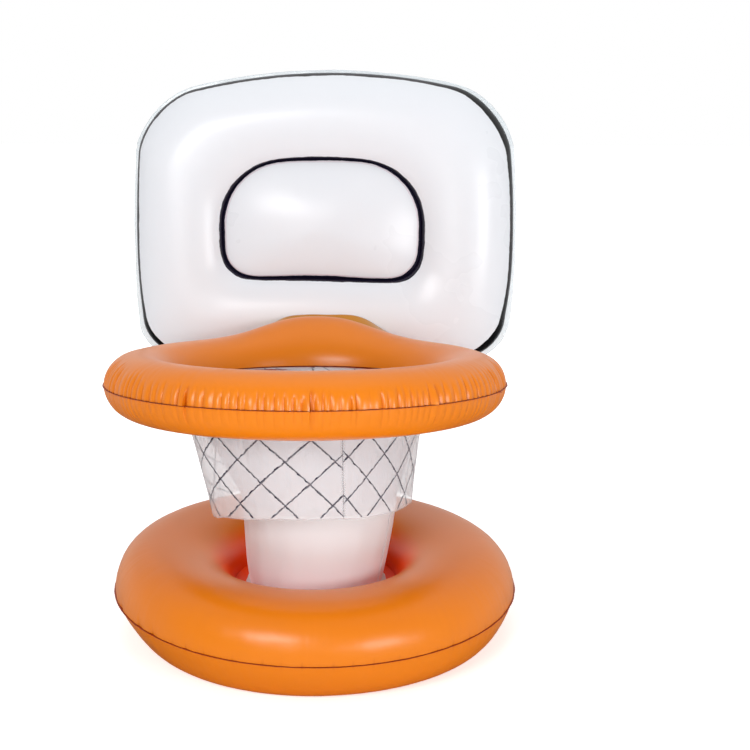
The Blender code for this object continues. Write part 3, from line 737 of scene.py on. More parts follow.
rim = {
    "outerRadius": 0.3029,
    "across": 0.0520,
    "tall": 0.0478,
    "sag": 0.0038,  # of the crown at both rear sides, and most at the right
    "sagShares": (1.25, 0.75),  # right, left
    "humpRise": 0.0275,
    "humpShift": 0.0250,
    "humpSpread": math.radians(22),
    "humpFall": 2.4,
    "humpCentre": math.radians(-1.5),
    "sway": -0.0068,  # the front and sides sit a little to the left
    "swayFrom": (0.75, 1.5),  # angle from the rear
    "weldBite": 0.006,
    "outerWeld": 0.0018,
    "innerWeld": 0.0080,
    "innerDroop": 0.0045,
    "nub": (-19, 0.0035),  # degrees, and how far the weld's end stands out
    "steps": 1500,
    "segments": 30,
    "pleats": {
        "seed": 5, "spacing": math.radians(2.55), "depth": 0.0028, "reach": math.radians(36),
        "lowShare": 0.35, "sideReach": 0.9, "halfWidth": math.radians(0.16), "wander": 0.0005,
        "wrinkle": 0.00035, "lowWrinkle": 1.5, "pinchRise": 0.0046,
        "pinches": [  # degrees, width, reach
            (-119.3, 0.044, 0.64), (-85.0, 0.044, 0.66), (-49.6, 0.044, 0.64),
        ],
        "folds": [  # degrees, depth, reach
            (-73, 0.0040, 0.62), (-152, 0.0040, 1.0), (-20, 0.0040, 1.0), (-165, 0.0034, 1.1),
            (-8, 0.0036, 1.0),
        ],
    },
}


def humpPoint(rearAngle, radius, height):
    # where the raised seat takes a point of the plain rim
    share = max(0.0, height - slit) / (rim["tall"] - slit)
    weight = bell(rearAngle - rim["humpCentre"], rim["humpSpread"], rim["humpFall"])
    return radius + rim["humpShift"] * weight * share ** 2, height + rim["humpRise"] * weight * share


def raiseHump(bm):
    for vert in bm.verts:
        radius = vert.co.xy.length
        farther, height = humpPoint(math.atan2(vert.co.x, vert.co.y), radius, vert.co.z)
        sides = smoothStep(0.35, 0.75, abs(vert.co.x) / radius) * smoothStep(-0.2, 0.3, vert.co.y / radius)
        crown = max(0.0, vert.co.z / rim["tall"]) ** 3
        sagShare = rim["sagShares"][0] if vert.co.x > 0 else rim["sagShares"][1]
        moveOut(vert, farther - radius)
        vert.co.z = height - rim["sag"] * sides * crown * sagShare


def rimSway(point):
    return rim["sway"] * smoothStep(*rim["swayFrom"], abs(math.atan2(point.x, point.y)))


def swayRim(bm):
    for vert in bm.verts:
        vert.co.x += rimSway(vert.co)


def buildRim():
    spec = rim
    across, tall, pleats = spec["across"], spec["tall"], spec["pleats"]
    ring = spec["outerRadius"] - across
    hole = ring - across
    lift = math.asin(slit / tall)
    creases = makePleats(pleats)
    section = sectionArc(ring, 0, across, tall, lift, math.pi - lift, spec["segments"])

    upper = wrapSection(section, spec["steps"], True)
    drawIn(upper, pleats, creases, ring, across, tall)
    raiseHump(upper)
    swayRim(upper)
    piece = finishPiece(
        "rimUpperSkin", upper, rimPlace, orangeVinyl, "toy", ["rim_upper_skin"],
    )

    lower = wrapSection([(radius, -height) for radius, height in section], spec["steps"], True)
    drawIn(lower, pleats, creases, ring, across, tall, pleats["lowShare"])
    swayRim(lower)
    piece = finishPiece(
        "rimLowerSkin", lower, rimPlace, orangeVinyl, "toy", ["rim_lower_skin"],
    )

    # painted shade along the outer weld's edge
    weldRing(
        "rimOuterWeld", rimPlace, spec["outerRadius"], spec["outerWeld"], -spec["weldBite"], weldOrange,
        creases, pleats, "rim_outer_seam", 31, spec["nub"], shape=swayRim,
    )
    # painted shade on the inner weld
    weldRing(
        "rimInnerWeld", rimPlace, hole, -spec["innerWeld"], spec["weldBite"], weldRed, None, pleats,
        "rim_inner_seam", 32, droop=spec["innerDroop"], shape=swayRim,
    )


buildRim()
print("stage: rim built")


# net and funnel


net = {
    "topRadius": 0.1897,
    "bottomRadius": 0.1535,
    "drop": 0.1862,
    "sideDrop": 0.0092,
    "flarePower": 1.15,
    "hem": 0.0080,
    "lapAzimuth": math.radians(-69.0),
    "lapWidth": 0.0060,
    "lapLift": 0.0009,
    "lapThickness": 0.0005,
    "lapAlpha": 0.05,
    "top": -0.0012,  # below the rim's weld
    "thickness": 0.0006,
    "steps": 360,
    "rows": 40,
    "lineHalfShare": 0.021,  # of a diamond
    "lineEnd": 0.985,
    "topSway": -0.0115,  # it hangs from the rim, and leans back to the right
    "bottomSway": 0.0030,
    "ink": (0.016, 0.009, 0.036),
    "inkAlpha": 0.55,
    "sheetAlpha": 0.38,
    "slowFold": 0.0022,
    "fastFold": 0.0010,
    "foldSharpness": 0.022,
    "folds": [  # degrees, depth, from, to
        (-118, 0.0016, 0.10, 0.52), (-63, 0.0012, 0.30, 1.0), (-97, 0.0010, 0.45, 0.95),
    ],
    "hemRise": 0.030,  # shares of the drop by which the lower edge is higher
    "hemSwells": [  # degrees, rise, spread
        (5, 0.010, 22), (-45, -0.009, 20), (80, 0.062, 36), (-72, -0.045, 17),
    ],
    "hemWaver": 0.0012,
}


def netRadius(share):
    flare = max(0.0, 1 - share) ** net["flarePower"]
    return net["bottomRadius"] + (net["topRadius"] - net["bottomRadius"]) * flare


def netWave(angle, share):
    # soft upright folds, a little deeper towards the lower edge, and a few sharp creases
    slow = net["slowFold"] * aroundNoise(angle, 3.2, share * 0.6 + 5.0)
    fast = net["fastFold"] * aroundNoise(angle, 9, share * 1.2 + 9.0)
    wave = (slow + fast) * smoothStep(0.0, 0.5, share)
    for degrees, depth, top, bottom in net["folds"]:
        off = turnBetween(angle, math.radians(degrees))
        along = smoothStep(top, top + 0.08, share) * (1 - smoothStep(bottom - 0.05, bottom + 0.05, share))
        wave -= depth * along * math.exp(-abs(off) / net["foldSharpness"])
    return wave


def hemRaise(angle):
    # the share of the drop by which the lower edge is higher there; it climbs to the right of the lap
    degrees = (math.degrees(angle) + 270) % 360 - 180
    return net["hemRise"] + sum(rise * bell(degrees - at, spread) for at, rise, spread in net["hemSwells"])


def sheetShare(vert):
    return max(0.0, (net["top"] - vert.co.z) / net["drop"])


def hangNet(bm):
    for vert in bm.verts:
        share = sheetShare(vert)
        angle = azimuth(vert.co)
        moveOut(vert, netWave(angle, share))
        vert.co.z += net["drop"] * share * hemRaise(angle)
        vert.co.z -= net["sideDrop"] * math.cos(angle) ** 2 * share
        vert.co.z += net["hemWaver"] * aroundNoise(angle, 6, 2.0) * share
        vert.co.x += net["topSway"] + (net["bottomSway"] - net["topSway"]) * share


netPrint = {
    # diamonds per turn, first diamond, slant; diamonds down the drop, first row
    "right": (17.2, 4.115, 0.10, 2.9, -1.325),
    "left": (15, 5.0825, 0.30, 2.8, -1.3825),
    "leftShift": -0.17,
    "leftStretch": 0.000066,
    "stretchFrom": 900,
    "blendTo": 100,  # degrees
    "shakeScale": 9,
    "shake": 0.10,
    "softness": 0.007,
    "endSoftness": 0.004,
    "patchyFrom": (0.35, 0.65),
    "patchy": 0.72,
    "lapLine": (0.0003, 0.0009),
    "lapStrength": 0.45,
}


def printPlace(angle, share):
    # where a point of the sheet lies on the print, counted in diamonds
    degrees = math.degrees(angle)
    lap = math.degrees(net["lapAzimuth"])
    degrees = lap + (degrees - lap) % 360
    turns, first, slant, down, row = netPrint["right"]
    right = (turns * degrees / 360 + first + slant * share, down * share + row)
    turns, first, slant, down, row = netPrint["left"]
    stretch = netPrint["leftStretch"] * ((degrees - lap - 360) ** 2 - netPrint["stretchFrom"]) * share
    first += slant * share + netPrint["leftShift"] + stretch
    left = (turns * degrees / 360 + first, down * share + row)
    blend = smoothStep(0, netPrint["blendTo"], degrees)
    return right[0] + (left[0] - right[0]) * blend, right[1] + (left[1] - right[1]) * blend


def mapPrint(bm):
    layer = bm.loops.layers.uv.new("printMap")
    lap = net["lapAzimuth"]
    for face in bm.faces:
        centre = face.calc_center_median()
        middle = (azimuth(centre) - lap) % math.tau
        for loop in face.loops:
            angle = azimuth(loop.vert.co)
            turn = (angle - lap) % math.tau
            if turn - middle > math.pi:
                turn -= math.tau
            if middle - turn > math.pi:
                turn += math.tau
            turn = min(math.tau - 1e-6, max(1e-6, turn))
            loop[layer].uv = printPlace(turn + lap, sheetShare(loop.vert) * (1 - hemRaise(angle)))


def printedNet():
    spec = netPrint
    material = vinyl("printedNetVinyl", **finishes["frosted"])
    tree = material.node_tree
    place = addNode(tree, "UVMap", uv_map="printMap").outputs["UV"]
    split = addNode(tree, "SeparateXYZ", {"Vector": place}).outputs
    shake = noiseShare(tree, place, spec["shakeScale"], 4)
    wobble = maths(tree, "MULTIPLY", maths(tree, "SUBTRACT", shake, 0.5), spec["shake"])
    masks = []
    for operation in ("SUBTRACT", "ADD"):
        along = maths(tree, "ADD", maths(tree, operation, split["X"], split["Y"]), wobble)
        away = maths(tree, "PINGPONG", along, 0.5)
        masks.append(lineMask(tree, away, net["lineHalfShare"], spec["softness"]))
    ends = lineMask(tree, readMark(tree, "dropShare"), net["lineEnd"], spec["endSoftness"])
    ink = maths(tree, "MULTIPLY", maths(tree, "MAXIMUM", *masks), ends)
    ink = maths(tree, "MULTIPLY", ink, mapRange(tree, shake, *spec["patchyFrom"], spec["patchy"], 1.0))
    lapLine = lineMask(tree, readMark(tree, "lapGap"), *spec["lapLine"])
    paintOver(tree, maths(tree, "MULTIPLY", lapLine, spec["lapStrength"]), net["ink"])
    paintOver(tree, ink, net["ink"])
    alpha = maths(tree, "ADD", maths(tree, "MULTIPLY", ink, net["inkAlpha"]), net["sheetAlpha"], True)
    tree.links.new(alpha, tree.nodes["Principled BSDF"].inputs["Alpha"])
    return material


def buildNet():
    spec = net
    wall = []
    for index in range(spec["rows"] + 1):
        share = index / spec["rows"]
        wall.append((netRadius(share) - spec["thickness"] / 2, spec["top"] - share * spec["drop"]))
    hem = [(spec["topRadius"] + spec["hem"], spec["top"])]
    skirt = wrapSection(hem + wall, spec["steps"], start=spec["lapAzimuth"])
    shares = skirt.verts.layers.float.new("dropShare")
    gaps = skirt.verts.layers.float.new("lapGap")
    for vert in skirt.verts:
        vert[shares] = sheetShare(vert)
        turn = azimuth(vert.co) - spec["lapAzimuth"]
        vert[gaps] = abs(math.sin(turn / 2)) * 2 * vert.co.xy.length
    mapPrint(skirt)
    hangNet(skirt)
    piece = finishPiece("netSkirt", skirt, rimPlace, printedNet(), "toy", ["net_skirt"])
    addModifier(piece, "SOLIDIFY", thickness=spec["thickness"], offset=0)

    sweep = spec["lapWidth"] / spec["bottomRadius"]
    inside = [(radius + spec["lapLift"], height) for radius, height in wall[2:]]
    strip = wrapSection(inside, 4, False, spec["lapAzimuth"] - sweep / 2, sweep)
    hangNet(strip)
    thinFrosted = vinyl("thinFrostedVinyl", **finishes["frosted"], specular=0.0, alpha=spec["lapAlpha"])
    lap = finishPiece("netLapWeld", strip, rimPlace, thinFrosted, "toy", ["net_lap_seam"])
    addModifier(lap, "SOLIDIFY", thickness=spec["lapThickness"], offset=1)


funnel = {
    "topRadius": 0.1893,
    "top": -0.0048,  # below the rim's weld
    "edge": 0.151,  # heights on the column where it folds down and where it ends
    "band": 0.139,
    "bandBelow": 0.0110,  # how far below the column's top the fold lies
    "bandDrop": 0.004,
    "gap": 0.0008,
    "thickness": 0.0006,
    "waver": 0.0010,
    "alpha": 0.42,
    "steps": 240,
    "rows": 16,
}


def buildFunnel():
    spec = funnel
    frosted = vinyl("frostedVinyl", **finishes["frosted"], alpha=spec["alpha"])
    columnTop = baseRing["tube"] - baseRing["flatDepth"] + column["base"] + column["height"]
    bandTop = columnTop - spec["bandBelow"] - stance["rimHeight"]
    topRadius, top = spec["topRadius"], spec["top"]
    edge = columnRadius(spec["edge"]) + spec["gap"]
    cone = []
    for index in range(spec["rows"] + 1):
        share = index / spec["rows"]
        cone.append((topRadius + (edge - topRadius) * share, top + (bandTop - top) * share))
    cone.append((columnRadius(spec["band"]) + spec["gap"], bandTop - spec["bandDrop"]))
    bm = wrapSection(cone, spec["steps"])
    for vert in bm.verts:
        share = min(1.0, max(0.0, (vert.co.z - bandTop) / (top - bandTop)))
        moveOut(vert, spec["waver"] * aroundNoise(azimuth(vert.co), 7, 4.0) * math.sin(math.pi * share))
        pivot = Matrix.Translation((0, 0, vert.co.z * (1 - share)))
        lean = Matrix.Rotation(-stance["rimLean"] * share, 4, "X")
        vert.co = pivot @ lean @ pivot.inverted() @ vert.co
        vert.co.x += column["headShift"] * (1 - share) + rimSway(vert.co) * share
    piece = finishPiece("funnelSheet", bm, rimLevel, frosted, "toy", ["funnel_sheet"])
    addModifier(piece, "SOLIDIFY", thickness=spec["thickness"], offset=0)


buildNet()
buildFunnel()
print("stage: net and funnel hung")


# backboard


board = {
    "width": 0.6560,
    "height": 0.4940,
    "topCorner": 0.1000,
    "bottomCorner": 0.0720,
    "topBow": 0.0500,
    "sideBow": 0.0120,
    "slant": 0.0065,
    "flange": 0.0052,
    "flangeCorners": [  # x, height, how much broader
        (-0.300, 0.040, 0.8), (0.300, 0.055, 0.9), (0.300, 0.400, 0.5),
    ],
    "flangeSpread": 0.07,
    "flangeEdge": 0.0006,
    "flangeThickness": 0.0007,
    "flangeWave": 0.0012,
    "flangeShake": ((0.0011, 24), (0.0005, 90)),
    "cornerIn": (0.0038, 0.300, 0.045, 0.06),  # the lower right corner is rounder than the others
    "bite": 0.0060,
    "panelWidth": 0.3410,
    "panelShift": -0.0036,
    "panelHeight": 0.2060,
    "panelBottom": 0.1387,
    "panelTopCorner": 0.0900,
    "panelBottomCorner": 0.0480,
    "panelTopBow": 0.0140,
    "panelSideBow": 0.0050,
    "panelSoften": 24,
    "panelLift": 0.0030,  # of its lower line, in the middle
    "border": 0.0450,
    "valley": 0.0140,
    "pillow": 0.0430,
    "borderPower": 0.66,
    "pillowRound": 0.35,
    "rows": 30,
    "pillowRows": 16,
    "outlineSteps": {"upright": 20, "level": 28, "corner": 22},
    "navy": (0.009, 0.007, 0.021),
    "edgeInk": (0.030, 0.025, 0.029),
    "edgeBlack": (0.004, 0.004, 0.005),
    "fringe": (0.62, 0.42, 0.50),
    "edgeWidth": 0.0050,
    "edgeShake": (0.0009, 18),
    "lineWidth": 0.0044,  # half the width of the panel line
    "lineThin": (0.0013, 0.270, 0.325),  # how much thinner along the top, and between which heights
    "lineThick": (0.0005, 0.05, 0.15),  # how much thicker at the right
    "lineCorner": (0.0012, 0.155, 0.150, 0.05),
    "lineShake": (0.0005, 20),
    "broadCorners": [  # x, height, how much broader, how far it spreads
        (0.285, 0.405, 0.0058, 0.080), (-0.288, 0.045, 0.0062, 0.055),
        (0.288, 0.028, 0.0072, 0.060), (0.322, 0.240, 0.0010, 0.140),
    ],
}


def roundedOutline(width, height, topCorner, bottomCorner, topBow, sideBow):
    half = width / 2
    quarter = math.pi / 2
    steps = board["outlineSteps"]
    corners = [
        (half - bottomCorner, bottomCorner, bottomCorner, -quarter, steps["upright"]),
        (half - topCorner, height - topCorner, topCorner, 0.0, steps["level"]),
        (topCorner - half, height - topCorner, topCorner, quarter, steps["upright"]),
        (bottomCorner - half, bottomCorner, bottomCorner, 2 * quarter, steps["level"]),
    ]
    points = []
    for index, (x, z, radius, start, side) in enumerate(corners):
        turn = sectionArc(x, z, radius, radius, start, start + quarter, steps["corner"])
        points += turn
        lastX, lastZ = turn[-1]
        after = corners[(index + 1) % 4]
        goal = (after[0] + after[2] * math.cos(after[3]), after[1] + after[2] * math.sin(after[3]))
        for step in range(1, side):
            share = step / side
            points.append((lastX + (goal[0] - lastX) * share, lastZ + (goal[1] - lastZ) * share))
    bowed = []
    for x, z in points:
        up = z / height
        bowed.append((x * (1 - sideBow / half * (2 * up - 1) ** 2), z - topBow * (x / half) ** 2 * up))
    return bowed


def boardOutline(inset):
    spec = board
    outline = roundedOutline(
        spec["width"] - 2 * inset, spec["height"] - 2 * inset, spec["topCorner"] - inset,
        spec["bottomCorner"] - inset, spec["topBow"], spec["sideBow"],
    )
    points = [Vector((x, 0, z + inset + spec["slant"] * 2 * x * z / spec["height"])) for x, z in outline]
    middle = Vector((0, 0, spec["height"] / 2))
    for point in points:
        # the flange is broader at both lower corners and at the upper right one
        spread = spec["flangeSpread"]
        broader = sum(more * nearness(point, x, height, spread) for x, height, more in spec["flangeCorners"])
        rounder, *corner = spec["cornerIn"]
        inward = min(inset, spec["flange"]) * broader + rounder * nearness(point, *corner)
        point += (middle - point).normalized() * inward
    return points


def panelOutline():
    spec = board
    outline = roundedOutline(
        spec["panelWidth"], spec["panelHeight"], spec["panelTopCorner"], spec["panelBottomCorner"],
        spec["panelTopBow"], spec["panelSideBow"],
    )
    points = [Vector((x + spec["panelShift"], 0, z + spec["panelBottom"])) for x, z in outline]
    for _ in range(spec["panelSoften"]):
        after = points[1:] + points[:1]
        points = [(points[index - 1] + 2 * point + after[index]) / 4 for index, point in enumerate(points)]
    for point in points:
        low = 1 - smoothStep(0, 0.06, point.z - spec["panelBottom"])
        point.z += low * (spec["panelLift"] * bell(point.x + 0.02, 0.09) - 0.012 * point.x)
    return points


def borderBulge(share):
    spec = board
    if share < 0.5:
        return spec["border"] * max(0.0, 1 - (1 - 2 * share) ** 2) ** spec["borderPower"]
    fall = math.sqrt(max(0.0, 1 - (2 * share - 1) ** 2))
    return spec["valley"] + (spec["border"] - spec["valley"]) * fall


def pillowBulge(share):
    spec = board
    rise = 1 - (1 - share) ** 2
    full = spec["pillowRound"] * math.sqrt(rise) + (1 - spec["pillowRound"]) * rise
    return spec["valley"] + (spec["pillow"] - spec["valley"]) * full


def nearness(point, x, height, spread):
    return bell(math.hypot(point.x - x, point.z - height), spread)


def edgeWidth(point):
    # the printed border: thin and grey along the top and left, broad and black at three corners
    width = board["edgeWidth"]
    for x, height, more, spread in board["broadCorners"]:
        width += more * nearness(point, x, height, spread)
    shake, scale = board["edgeShake"]
    return width + shake * noise.noise(point * scale)


def panelLineWidth(point):
    # half the width of the printed panel line, which is thinnest along the top
    thinner, *heights = board["lineThin"]
    thicker, *across = board["lineThick"]
    broader, *corner = board["lineCorner"]
    shake, scale = board["lineShake"]
    width = board["lineWidth"] - thinner * smoothStep(*heights, point.z)
    width += thicker * smoothStep(*across, point.x)
    return width + broader * nearness(point, *corner) + shake * noise.noise(point * scale)


def easedShares(count):
    # close together at both ends, where the skin turns sharply
    return [(1 - math.cos(math.pi * index / count)) / 2 for index in range(1, count + 1)]


def buildBoardSkin(name, side, material, node):
    outline = boardOutline(board["flange"])
    panel = panelOutline()
    middle = sum(panel, Vector()) / len(panel)
    bm = bmesh.new()
    bmesh.ops.create_circle(bm, cap_ends=True, segments=len(outline), radius=0.3)
    edgeLayer = bm.verts.layers.float.new("edgeDistance")
    lineLayer = bm.verts.layers.float.new("lineDistance")
    edgeInkLayer = bm.verts.layers.float.new("edgeInkWidth")
    lineInkLayer = bm.verts.layers.float.new("lineInkWidth")
    bm.faces.ensure_lookup_table()
    face = bm.faces[0]
    order = list(face.verts)
    if (order[1].co - order[0].co).cross(order[2].co - order[1].co).z < 0:
        order.reverse()

    def layRing(ringVerts, points, depth, edgeGap, lineGap):
        for index, vert in enumerate(ringVerts):
            vert.co = Vector((points[index].x, side * (slit + depth), points[index].z))
            vert[edgeLayer] = edgeGap[index]
            vert[lineLayer] = lineGap[index]
            vert[edgeInkLayer] = edgeInk[index]
            vert[lineInkLayer] = lineInk[index]

    spans = [(inner - outer).length for outer, inner in zip(outline, panel)]
    zero = [0.0] * len(outline)
    edgeInk = [edgeWidth(point) for point in outline]
    lineInk = [panelLineWidth(point) for point in panel]
    layRing(order, outline, 0, zero, spans)
    rings = [("border", share) for share in easedShares(board["rows"])]
    rings += [("pillow", share) for share in easedShares(board["pillowRows"])[:-1]]
    for kind, share in rings:
        inner = bmesh.ops.inset_individual(bm, faces=[face], thickness=0.0001, use_even_offset=False)
        ringVerts = matchRing(face, order, inner["faces"])
        if kind == "border":
            points = [outer.lerp(goal, share) for outer, goal in zip(outline, panel)]
            edgeGap = [span * share for span in spans]
            lineGap = [span * (1 - share) for span in spans]
            layRing(ringVerts, points, borderBulge(share), edgeGap, lineGap)
        else:
            points = [point.lerp(middle, share) for point in panel]
            lineGap = [-(point - middle).length * share for point in panel]
            layRing(ringVerts, points, pillowBulge(share), spans, lineGap)
        order = ringVerts
    bmesh.ops.poke(bm, faces=[face])
    bm.verts.ensure_lookup_table()
    centre = min(bm.verts, key=lambda vert: (Vector((vert.co.x, 0, vert.co.z)) - middle).length)
    centre.co = Vector((middle.x, side * (slit + board["pillow"]), middle.z))
    centre[lineLayer] = -0.1
    centre[edgeLayer] = 0.2
    closeHoles(bm)
    piece = finishPiece(name, bm, boardPlace, material, "board", [node])


def matchRing(face, order, sideFaces):
    # the inset face's corners, in the order of the ring that they grew from
    grown = {}
    for sideFace in sideFaces:
        outer = [vert for vert in sideFace.verts if vert not in face.verts]
        for vert in outer:
            for edge in vert.link_edges:
                other = edge.other_vert(vert)
                if other in sideFace.verts and other not in outer:
                    grown[vert] = other
    return [grown[vert] for vert in order]


boardPrint = {
    "jagScale": 70,
    "jag": 0.0022,
    "fringeOut": 0.0018,
    "fringeHalf": (0.0008, 0.0012),  # half its width, and its softness
    "fringeStrength": 0.4,
    "lineSoftness": 0.0007,
    "edgeSoftness": 0.0010,
    "blackFrom": 0.0052,  # the border is black where its ink is broader than this
    "blackRate": 500,
}


def printedBoard():
    spec = boardPrint
    material = vinyl("printedBoardVinyl", **finishes["boardWhite"])
    tree = material.node_tree
    uneven = noiseShare(tree, addNode(tree, "TexCoord").outputs["Object"], spec["jagScale"], 2)
    jag = maths(tree, "MULTIPLY", maths(tree, "SUBTRACT", uneven, 0.5), spec["jag"])
    line, lineInk = readMark(tree, "lineDistance"), readMark(tree, "lineInkWidth")
    edge, edgeInk = readMark(tree, "edgeDistance"), readMark(tree, "edgeInkWidth")

    fringeAt = maths(tree, "ADD", maths(tree, "ADD", line, lineInk), spec["fringeOut"])
    fringe = lineMask(tree, maths(tree, "ABSOLUTE", fringeAt), *spec["fringeHalf"])
    paintOver(tree, maths(tree, "MULTIPLY", fringe, spec["fringeStrength"]), board["fringe"])
    halfLine = maths(tree, "ADD", lineInk, jag)
    innerLine = lineMask(tree, maths(tree, "ABSOLUTE", line), halfLine, spec["lineSoftness"])
    paintOver(tree, innerLine, board["navy"])
    outerLine = lineMask(tree, edge, maths(tree, "ADD", edgeInk, jag), spec["edgeSoftness"])
    paintOver(tree, outerLine, board["edgeInk"])
    broader = maths(tree, "SUBTRACT", edgeInk, spec["blackFrom"])
    broad = maths(tree, "MULTIPLY", broader, spec["blackRate"], True)
    paintOver(tree, maths(tree, "MULTIPLY", outerLine, broad), board["edgeBlack"])
    return material


def buildBoard():
    white = printedBoard()
    buildBoardSkin("boardFrontSkin", -1, white, "board_front_skin")
    buildBoardSkin("boardRearSkin", 1, white, "board_rear_skin")

    bm = bmesh.new()
    outline = boardOutline(0)
    bite = boardOutline(board["flange"] + board["bite"])
    bmesh.ops.create_circle(bm, cap_ends=True, segments=len(outline), radius=0.3)
    bm.faces.ensure_lookup_table()
    face = bm.faces[0]
    order = list(face.verts)
    inner = bmesh.ops.inset_individual(bm, faces=[face], thickness=0.0001, use_even_offset=False)
    ringVerts = matchRing(face, order, inner["faces"])
    bmesh.ops.delete(bm, geom=[face], context="FACES")
    for index, vert in enumerate(order):
        point = outline[index]
        shake = sum(depth * noise.noise(point * scale) for depth, scale in board["flangeShake"])
        inward = (bite[index] - point).normalized()
        wave = board["flangeWave"] * noise.noise(point * 30 + Vector((5, 0, 0)))
        vert.co = point + inward * (board["flangeEdge"] + shake) + Vector((0, wave, 0))
    for index, vert in enumerate(ringVerts):
        vert.co = bite[index]
    across = [edge for edge in bm.edges if (edge.verts[0] in order) != (edge.verts[1] in order)]
    bmesh.ops.subdivide_edges(bm, edges=across, cuts=4)
    flange = finishPiece(
        "boardFlange", bm, boardPlace, clearVinyl, "board", ["board_seam_flange"],
    )
    addModifier(flange, "SOLIDIFY", thickness=board["flangeThickness"], offset=0)


buildBoard()
print("stage: backboard built")


# tab and web


tab = {
    "footShare": 0.86,
    "halfAngle": math.radians(22.5),
    "turn": math.radians(0.8),
    "crestRise": 0.0285,
    "crestSpread": math.radians(24.5),
    "crestFall": 4,
    "dip": 0.0045,
    "rise": 0.0035,
    "endDip": 0.0110,
    "bulge": 0.0012,
    "waver": 0.0007,
    "leftDip": 0.0006,
    "gap": 0.0003,
    "thickness": 0.0008,
}
web = {"halfWidth": 0.1, "sag": 0.0016, "top": -0.0011, "fall": 0.0056, "gap": 0.0004, "thickness": 0.0006}


def buildTabAndWeb():
    footHeight = rim["tall"] * tab["footShare"]
    footRadius = rim["outerRadius"] - rim["across"] + rim["across"] * math.sqrt(1 - tab["footShare"] ** 2)
    plane = stance["boardBack"]
    crestHeight = rim["tall"] + tab["crestRise"] + stance["boardDrop"]
    borderShare = (crestHeight - board["flange"]) / (board["panelBottom"] - board["flange"])
    face = plane - slit - borderBulge(borderShare) - tab["gap"]
    bm = bmesh.new()
    bmesh.ops.create_grid(bm, x_segments=60, y_segments=8, size=1)
    for vert in bm.verts:
        across, up = vert.co.x, (vert.co.y + 1) / 2
        angle = across * tab["halfAngle"] + tab["turn"]
        radius, height = humpPoint(angle, footRadius, footHeight)
        foot = Vector((math.sin(angle) * radius, math.cos(angle) * radius, height + 0.001))
        crest = rim["tall"] + tab["crestRise"] * bell(angle, tab["crestSpread"], tab["crestFall"])
        ends = smoothStep(0.4, 1.0, abs(across))
        left = smoothStep(-0.1, 0.5, -across)
        rise = tab["rise"] * (1 - across ** 4) - tab["dip"] - tab["endDip"] * ends - tab["leftDip"] * left
        head = Vector((foot.x, face - 2 * tab["gap"], crest + rise))
        vert.co = foot.lerp(head, up)
        vert.co.z += tab["bulge"] * math.sin(math.pi * up) + tab["waver"] * up * noise.noise(vert.co * 30)
    piece = finishPiece("boardRestTab", bm, rimPlace, amberVinyl, "toy", ["board_rest_tab"])
    addModifier(piece, "SOLIDIFY", thickness=tab["thickness"], offset=1)

    strip = bmesh.new()
    bmesh.ops.create_grid(strip, x_segments=60, y_segments=12, size=1)
    for vert in strip.verts:
        x, share = vert.co.x * web["halfWidth"], (vert.co.y + 1) / 2
        front = math.sqrt((rim["outerRadius"] + web["gap"]) ** 2 - x * x)
        y = front + (plane + slit - front) * share
        height = web["top"] - web["fall"] * share - web["sag"] * math.sin(math.pi * share)
        vert.co = Vector((x, y, height))
    piece = finishPiece("boardWeb", strip, rimPlace, clearVinyl, "toy", ["board_hinge_web"])
    addModifier(piece, "SOLIDIFY", thickness=web["thickness"], offset=0)


buildTabAndWeb()
print("stage: tab and web built")


# air valves


valve = {
    "flangeRadius": 0.0125,
    "seat": 0.0026,
    "gap": 0.0003,
    "sheet": 0.0008,
    "stemRadius": 0.0050,
    "bore": 0.0033,
    "length": 0.0160,
    "collarRadius": 0.0105,
    "collar": 0.0012,
    "plug": 0.0027,
    "tip": 0.0016,
    "plugLength": 0.0050,
    "cap": 0.0056,
    "capThickness": 0.0012,
    "strapWidth": 0.0034,
    "strap": 0.0008,
    "hinge": 0.0088,
    "round": 0.0003,  # of the moulded edges
    "broadRound": 0.0006,
    "ribs": 5,
    "strapRound": 0.0002,
    "hingeRound": 0.0001,
    "steps": 48,
}


def jointNamed(name):
    return next(joint for joint in frame["joints"] if joint["name"] == name)


def valvePlace(name):
    # the valve's own axes, read from its two joints
    swing, pull = jointNamed(name + "_plug_swing"), jointNamed(name + "_stem_pull")
    up = Vector(pull["axis"]).normalized()
    along = Vector(swing["axis"]).normalized()
    side = along.cross(up)
    spec = valve
    collarTop = -spec["seat"] + spec["gap"] + spec["sheet"] + spec["gap"] + spec["collar"]
    hingeHeight = collarTop + spec["gap"] + spec["capThickness"] / 2
    origin = Vector(swing["pos_m"]) - side * spec["hinge"] - up * hingeHeight
    turn = Matrix((side, along, up)).transposed().to_4x4()
    return Matrix.Translation(origin) @ turn, collarTop, hingeHeight


def softEdges(bm, width):
    closed = [edge for edge in bm.edges if len(edge.link_faces) == 2]
    edges = [edge for edge in closed if edge.calc_face_angle() > math.radians(50)]
    bmesh.ops.bevel(
        bm, geom=edges, offset=width, offset_type="OFFSET", segments=2, profile=0.5, affect="EDGES",
        material=-1,
    )


